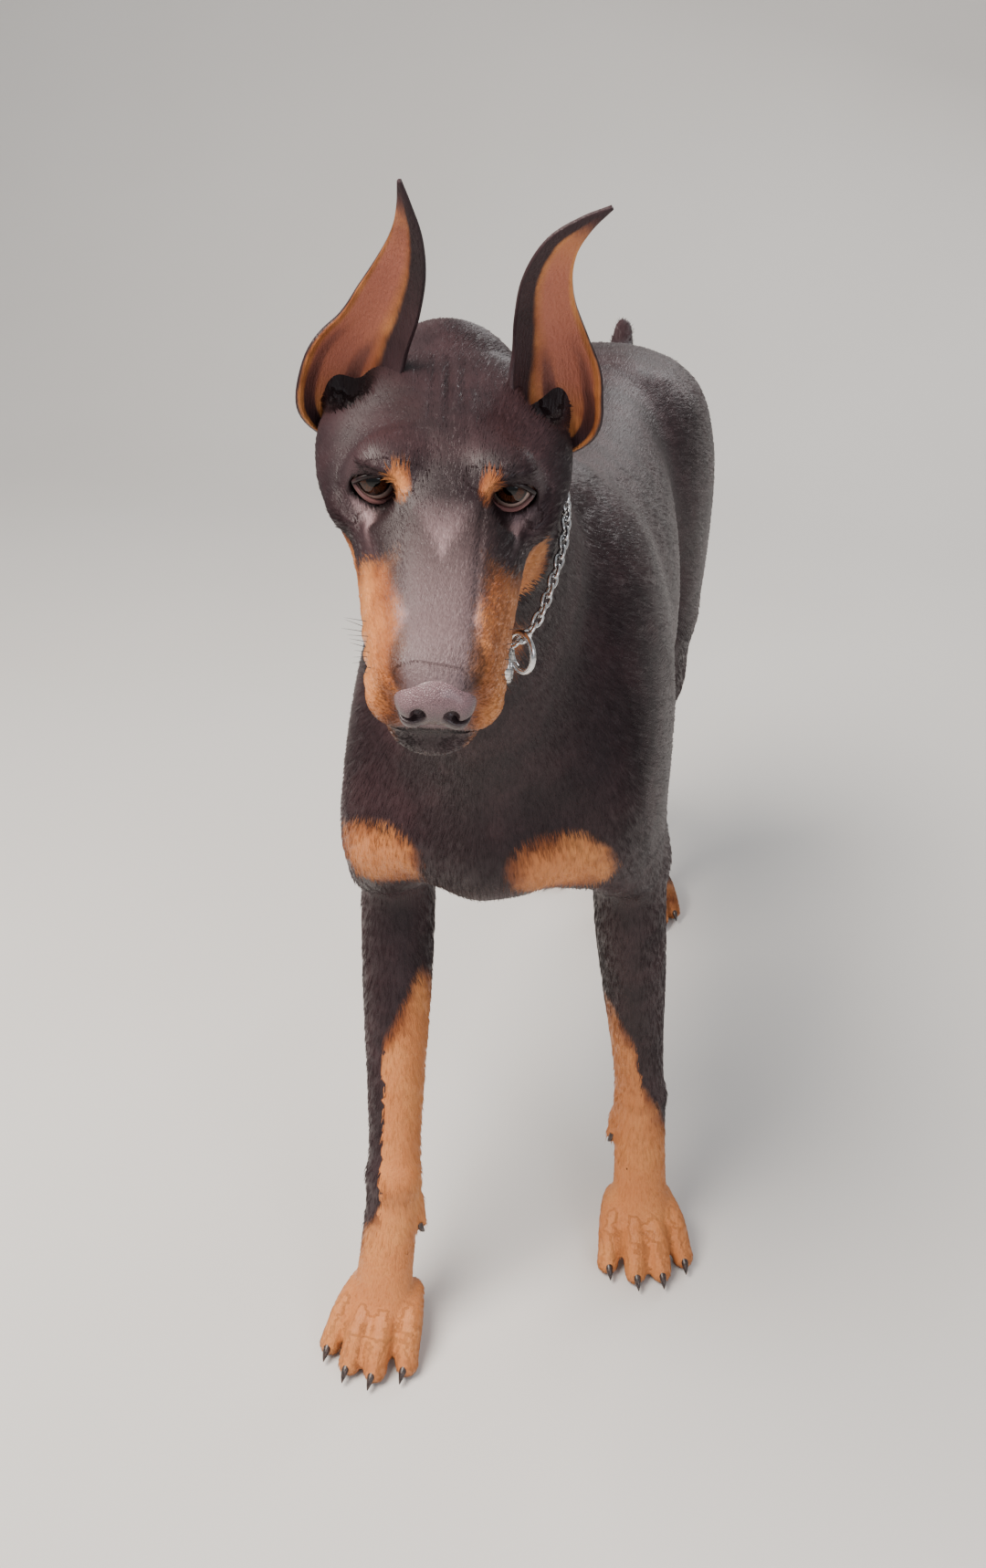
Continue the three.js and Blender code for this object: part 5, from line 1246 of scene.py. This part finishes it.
class CollarOperator(bpy.types.Operator):
    """Lay the steel chain collar round the neck, link by link, with its two rings"""
    bl_idname = "dog.collar"
    bl_label = "Chain collar"

    RISE, TILT = 196.0, 9.6         # the chain's rise up the neck, and how far it dips towards the crest, mm
    SLACK_AT = -118.0               # where round the neck it hangs off, degrees
    SLACK, CLEAR = 9.0, 2.9         # how far it hangs off there, and lies off elsewhere, mm

    def lie_at(self, angle, off):
        """Points at those angles round the neck's axis where the field reaches off, by halving."""
        a = np.radians(angle)[:, None]
        out = NECK_SIDE * np.cos(a) + NECK_CREST * np.sin(a)
        centre = NECK_FROM + NECK_UP * (self.RISE - self.TILT * np.sin(a)) + NECK_CREST * 2
        near, far = np.full(len(angle), 10.0), np.full(len(angle), 120.0)
        for _ in range(22):
            middle = (near + far) / 2
            inside = field(BODY_FORMS, centre + out * middle[:, None]) < off
            near, far = np.where(inside, middle, near), np.where(inside, far, middle)
        return centre + out * far[:, None]

    def link(self, at, along, over, length, wire):
        """An oval link: a round wire carried round x = l |cos t|^0.75, y = w sin t, a little twisted."""
        t = np.linspace(0, 2 * np.pi, 19)[:-1]
        side = np.cross(along, over)
        l, w = length / 2 - wire * 0.2, length * 0.31
        x = l * np.sign(np.cos(t)) * np.abs(np.cos(t)) ** 0.75
        y = w * np.sin(t)
        path = at + x[:, None] * along + y[:, None] * side + (0.22 * x * y / l)[:, None] * over
        return tube(path, wire, 8, True, over)

    def execute(self, context):
        fittings = context.scene.dog_fittings
        finish = plated_steel()
        wire, length = fittings.wire / MM, fittings.link / MM
        angle = np.linspace(-180, 180, 361)[:-1]
        gap = (angle - self.SLACK_AT + 540) % 360 - 180
        path = self.lie_at(angle, self.CLEAR + self.SLACK * np.exp(-(gap / 22) ** 2))
        loop = np.vstack([path, path[:1]])
        way = np.concatenate([[0], np.cumsum(np.linalg.norm(np.diff(loop, axis=0), axis=1))])
        count = int(round(way[-1] / (length - 2.1 * wire) / 2)) * 2
        at = np.arange(count) / count * way[-1]
        centres = np.stack([np.interp(at, way, loop[:, k]) for k in range(3)], 1)
        along = np.roll(centres, -1, 0) - np.roll(centres, 1, 0)
        along /= np.linalg.norm(along, axis=1)[:, None]
        out = centres - centres.mean(0)
        out -= (out * along).sum(1)[:, None] * along
        out /= np.linalg.norm(out, axis=1)[:, None]
        parts = []
        for k in range(count):
            lean = np.radians(42 if k % 2 else -42)
            over = out[k] * np.cos(lean) + np.cross(along[k], out[k]) * np.sin(lean)
            parts.append(self.link(centres[k], along[k], over, length, wire))
        points, faces = joined(parts)
        put_mesh("chain", points, faces, finish, ("collar_chain",))
        low, high = (np.array(v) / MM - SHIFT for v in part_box("collar_ring"))
        middle = (low + high) / 2
        t = np.linspace(0, 2 * np.pi, 49)[:-1]
        slack = self.lie_at(self.SLACK_AT + vec(0, 3), self.CLEAR + self.SLACK)
        run, hang = unit(slack[1] - slack[0]), unit(middle - slack[0])
        face = unit(np.cross(run, hang))
        rings = []                          # each ring's middle, two directions in its plane and radius
        for centre, a, b, r in ((middle, hang, np.cross(hang, unit(run + 0.6 * face)), 10.5),
                                (middle + run * 9 + hang * 2, unit(hang + run * 0.5), face, 8.5)):
            b = unit(b - (b @ a) * a)
            path = centre + r * (np.cos(t)[:, None] * a + np.sin(t)[:, None] * b)
            rings.append(tube(path, 1.7, 12, True, np.cross(a, b)))
        points, faces = joined(rings)
        put_mesh("collar_rings", points, faces, finish, ("collar_ring",))
        return {"FINISHED"}


LEG_TOPS = (382, 350, 420, 420)     # top of each leg on the unwrap, mm


def unwrap(p):
    """Places on an unwrap of the skin: trunk, neck and head as a roll round the spine, each leg a roll."""
    roll_y = np.interp(p[:, 1], [-600, -330, -190, 340], [0, 0.42, 0.55, 1.0])
    spine_z = np.interp(p[:, 1], [-560, -450, -300, -190, 320], [725, 740, 620, 520, 580])
    angle = np.arctan2(p[:, 0], p[:, 2] - spine_z) / (2 * np.pi) + 0.5
    u = 0.02 + 0.96 * roll_y
    v = 0.36 + 0.62 * angle
    leg = p[:, 2] < 400
    for k, (s, *_, start, toes) in enumerate([*FORELEGS.values(), *HINDLEGS.values()]):
        ours = leg & (np.sign(p[:, 0]) == s) & ((p[:, 1] < 30) == (k < 2))
        heights = [0, start[2], 400]
        x = p[:, 0] - np.interp(p[:, 2], heights, [toes[0], start[0], start[0]])
        y = p[:, 1] - np.interp(p[:, 2], heights, [toes[1] + 25, start[1], start[1] - (k > 1) * 130])
        u = np.where(ours, 0.01 + 0.25 * k + 0.23 * (np.arctan2(x, y) / (2 * np.pi) + 0.5), u)
        v = np.where(ours, 0.01 + 0.33 * p[:, 2] / LEG_TOPS[k], v)
    return np.stack([u, v], 1).clip(0.002, 0.998)


FEET = 90.0                         # height under which the coat counts as the feet's, mm
TUFT_WIDTH = 0.42                   # half width of a full tuft's root, mm
TUFT_PATCH = np.array([(-0.5, 0), (0.5, 0), (0, 0.5), (0, 1)]) * 0.003      # a tuft's corners on the unwrap


class CoatOperator(bpy.types.Operator):
    """Lay short tufts over the whole skin along the coat's lie, smallest on the face and feet"""
    bl_idname = "dog.coat"
    bl_label = "Coat tufts"

    def execute(self, context):
        coat = context.scene.dog_coat
        points, quads, normals = SHARED["skin"]
        finish = short_coat("coat_tufts", coat, True)
        corners = points[quads]
        diagonals = corners[:, 2] - corners[:, 0], corners[:, 3] - corners[:, 1]
        area = 0.5 * np.linalg.norm(np.cross(*diagonals), axis=1)
        middle = corners.mean(1)
        q = in_head(middle)
        on_face, feet = rise_of(middle) > HEAD_FROM, middle[:, 2] < FEET
        # No tufts on the lips, round the eyes, in the ears' cups, on the nose and under the soles
        lips = (np.abs(q[:, 2] - np.interp(q[:, 1], *MOUTH_LINE)) < 2.6) & (q[:, 1] < -16)
        bare = (on_face & lips) | (middle[:, 2] < 3)
        for s in (1, -1):
            mirror = vec(s, 1, 1)
            for place, radii in ((EYE_AT, 15.8), (EAR_CUP + CUP_OFF, vec(14, 17, 21)),
                                 (vec(0, -112, -18), vec(17.5, 13, 14))):
                bare |= np.linalg.norm((q - place * mirror) / radii, axis=1) < 1
        weight = area * np.where(on_face, 2.6, np.where(feet, 2.0, 1.0)) * ~bare
        neck = ~on_face & (rise_of(middle) > 20) & (middle[:, 1] < -150) & (middle[:, 2] > 470)
        legs = middle[:, 2] < 400
        total = coat.tufts
        # Each coat piece, where it grows and its share of the tufts
        regions = (("head", on_face, 1.0), ("neck", neck, 0.8), ("legs", legs, 1.0),
                   ("trunk", ~(on_face | neck | legs), 1.0))
        for k, (name, mask, share) in enumerate(regions):
            random = np.random.default_rng(20 + k)
            chance = weight * mask
            count = int(total * share)
            pick = random.choice(len(quads), count, p=chance / chance.sum())
            a, b = random.random((2, count, 1))
            corner = corners[pick]
            root = ((corner[:, 0] * (1 - a) + corner[:, 1] * a) * (1 - b)
                    + (corner[:, 3] * (1 - a) + corner[:, 2] * a) * b)
            n = normals[quads[pick]].mean(1)
            n /= np.linalg.norm(n, axis=1)[:, None]
            lie = lie_of(root, n)
            way = lie + np.cross(n, lie) * random.normal(0, 0.10, (count, 1))
            way /= np.linalg.norm(way, axis=1)[:, None]
            side = np.cross(n, way)
            scale = np.where(on_face[pick], np.clip(0.24 + (q[pick, 1] + 110) / 300, 0.22, 0.7),
                             np.where(root[:, 2] < FEET, 0.45, 1.0))
            scale = (scale * random.uniform(0.75, 1.25, count))[:, None]
            length, width = coat.tuft / MM * scale, TUFT_WIDTH * (0.5 + 0.5 * scale)
            lift = length * np.abs(random.normal(0.04, 0.025, (count, 1)))
            # One tuft: two sunk root corners, a raised ridge, and a tip that bends back to the skin
            sunk = root - n * 0.25
            ridge = root + way * length * 0.35 + n * (0.22 + lift * 0.6)
            tip = root + way * length + n * (0.1 + lift)
            tuft = np.stack([sunk - side * width, sunk + side * width, ridge, tip], 1).reshape(-1, 3)
            tuft[:, 2] = np.maximum(tuft[:, 2], 0.3)
            first = (np.arange(count) * 4)[:, None]
            faces = np.concatenate([first + face for face in ((0, 3, 2), (2, 3, 1), (0, 2, 1), (1, 3, 0))])
            soft = n[:, None].repeat(4, 1).reshape(-1, 3)           # tufts shade as the skin under them does
            uv = (unwrap(root)[:, None] + TUFT_PATCH).reshape(-1, 2).clip(0, 1)
            tone = random.normal(0, 1.5, count)
            each = {"rust": rust_depth(root) + tone, "streak": streaks(root, lie), "dark": dark_skin_and_shade(root),
                    "painted_sheen": painted_sheen_at(root)}
            values = {key: np.repeat(value, 4, 0) for key, value in each.items()}
            put_mesh("coat_" + name, tuft, faces, finish, (), soft, values, uv)
        return {"FINISHED"}


CAMERA_AT = vec(168, -1047, 936)                # fitted to the photograph, mm
CAMERA_TURN, CAMERA_TILT = 12.2, 29.6           # to the dog's right, and down, degrees


class StageOperator(bpy.types.Operator):
    """Lay the pale floor, the soft lights and the camera at the photograph's angle"""
    bl_idname = "dog.stage"
    bl_label = "Floor, lights and camera"

    def execute(self, context):
        stage, scene = context.scene.dog_stage, context.scene
        # Flat under the dog, and rising behind it as 0.5 (y - 1.8)^2, m
        rows, columns = 15, 61
        x, y = np.meshgrid(np.linspace(-7, 7, rows), np.linspace(-5, 5, columns), indexing="ij")
        points = np.stack([x, y, 0.5 * np.maximum(y - 1.8, 0) ** 2], -1).reshape(-1, 3)
        mesh = bpy.data.meshes.new("floor")
        mesh.from_pydata(points.tolist(), [], grid_faces(rows, columns, False)[:, ::-1].tolist())
        mesh.shade_smooth()
        mesh.materials.append(paper_floor(stage.floor))
        floor = bpy.data.objects.new("floor", mesh)
        scene.collection.objects.link(floor)
        world = bpy.data.worlds.new("even_sky")
        world.use_nodes = True
        sky = world.node_tree.nodes["Background"].inputs
        sky["Color"].default_value, sky["Strength"].default_value = linear("#eef0f4"), stage.sky
        scene.world = world
        self.light("key", (-0.9, -1.0, 2.6), (0, -0.15, 0.5), 1.6, stage.key, "#fff6ec")
        self.light("fill", (1.7, -2.2, 1.5), (0, -0.2, 0.4), 1.4, stage.fill, "#f4f6ff")
        self.light("back", (0.8, 2.2, 1.9), (0, 0.1, 0.5), 1.2, stage.fill, "#ffffff")
        data = bpy.data.cameras.new("camera")
        data.lens, data.sensor_width, data.sensor_fit = stage.lens, 36.0, "AUTO"
        camera = bpy.data.objects.new("camera", data)
        ahead = turn("z", CAMERA_TURN) @ turn("x", -CAMERA_TILT) @ vec(0, 1, 0)
        camera.location = to_frame(CAMERA_AT)
        camera.rotation_euler = Vector(ahead).to_track_quat("-Z", "Y").to_euler()
        data.clip_end = 50
        scene.collection.objects.link(camera)
        scene.camera = camera
        return {"FINISHED"}

    def light(self, name, at, to, size, power, colour):
        """A round soft light of that size, in m, aimed from one point to another."""
        data = bpy.data.lights.new(name, "AREA")
        data.shape, data.size, data.energy, data.color = "DISK", size, power, linear(colour)[:3]
        lamp = bpy.data.objects.new(name, data)
        lamp.location = at
        lamp.rotation_euler = (Vector(to) - Vector(at)).to_track_quat("-Z", "Y").to_euler()
        bpy.context.scene.collection.objects.link(lamp)


OPERATORS = (StageOperator, SkinOperator, EarOperator, FaceOperator, ClawOperator, CollarOperator,
             CoatOperator)


class DogPanel(bpy.types.Panel):
    """The pieces of the dog, in the order in which they are built"""
    bl_idname = "VIEW3D_PT_dog"
    bl_label = "Doberman pinscher"
    bl_space_type = "VIEW_3D"
    bl_region_type = "UI"
    bl_category = "Dog"

    def draw(self, context):
        for operator in OPERATORS:
            self.layout.operator(operator.bl_idname)
        for group in ("dog_coat", "dog_fittings", "dog_stage"):
            holder = getattr(context.scene, group)
            for key in holder.bl_rna.properties.keys()[2:]:
                self.layout.prop(holder, key)


GROUPS = {"dog_coat": DogCoat, "dog_fittings": DogFittings, "dog_stage": DogStage}


def register():
    for kind in (*GROUPS.values(), *OPERATORS, DogPanel):
        bpy.utils.register_class(kind)
    for name, kind in GROUPS.items():
        setattr(bpy.types.Scene, name, bpy.props.PointerProperty(type=kind))


def unregister():
    for name in GROUPS:
        delattr(bpy.types.Scene, name)
    for kind in reversed((*GROUPS.values(), *OPERATORS, DogPanel)):
        bpy.utils.unregister_class(kind)


def main():
    register()
    bpy.ops.dog.stage()
    bpy.ops.dog.skin()
    bpy.ops.dog.ears()
    bpy.ops.dog.face()
    bpy.ops.dog.claws()
    bpy.ops.dog.collar()
    bpy.ops.dog.coat()


if __name__ == "__main__":
    main()
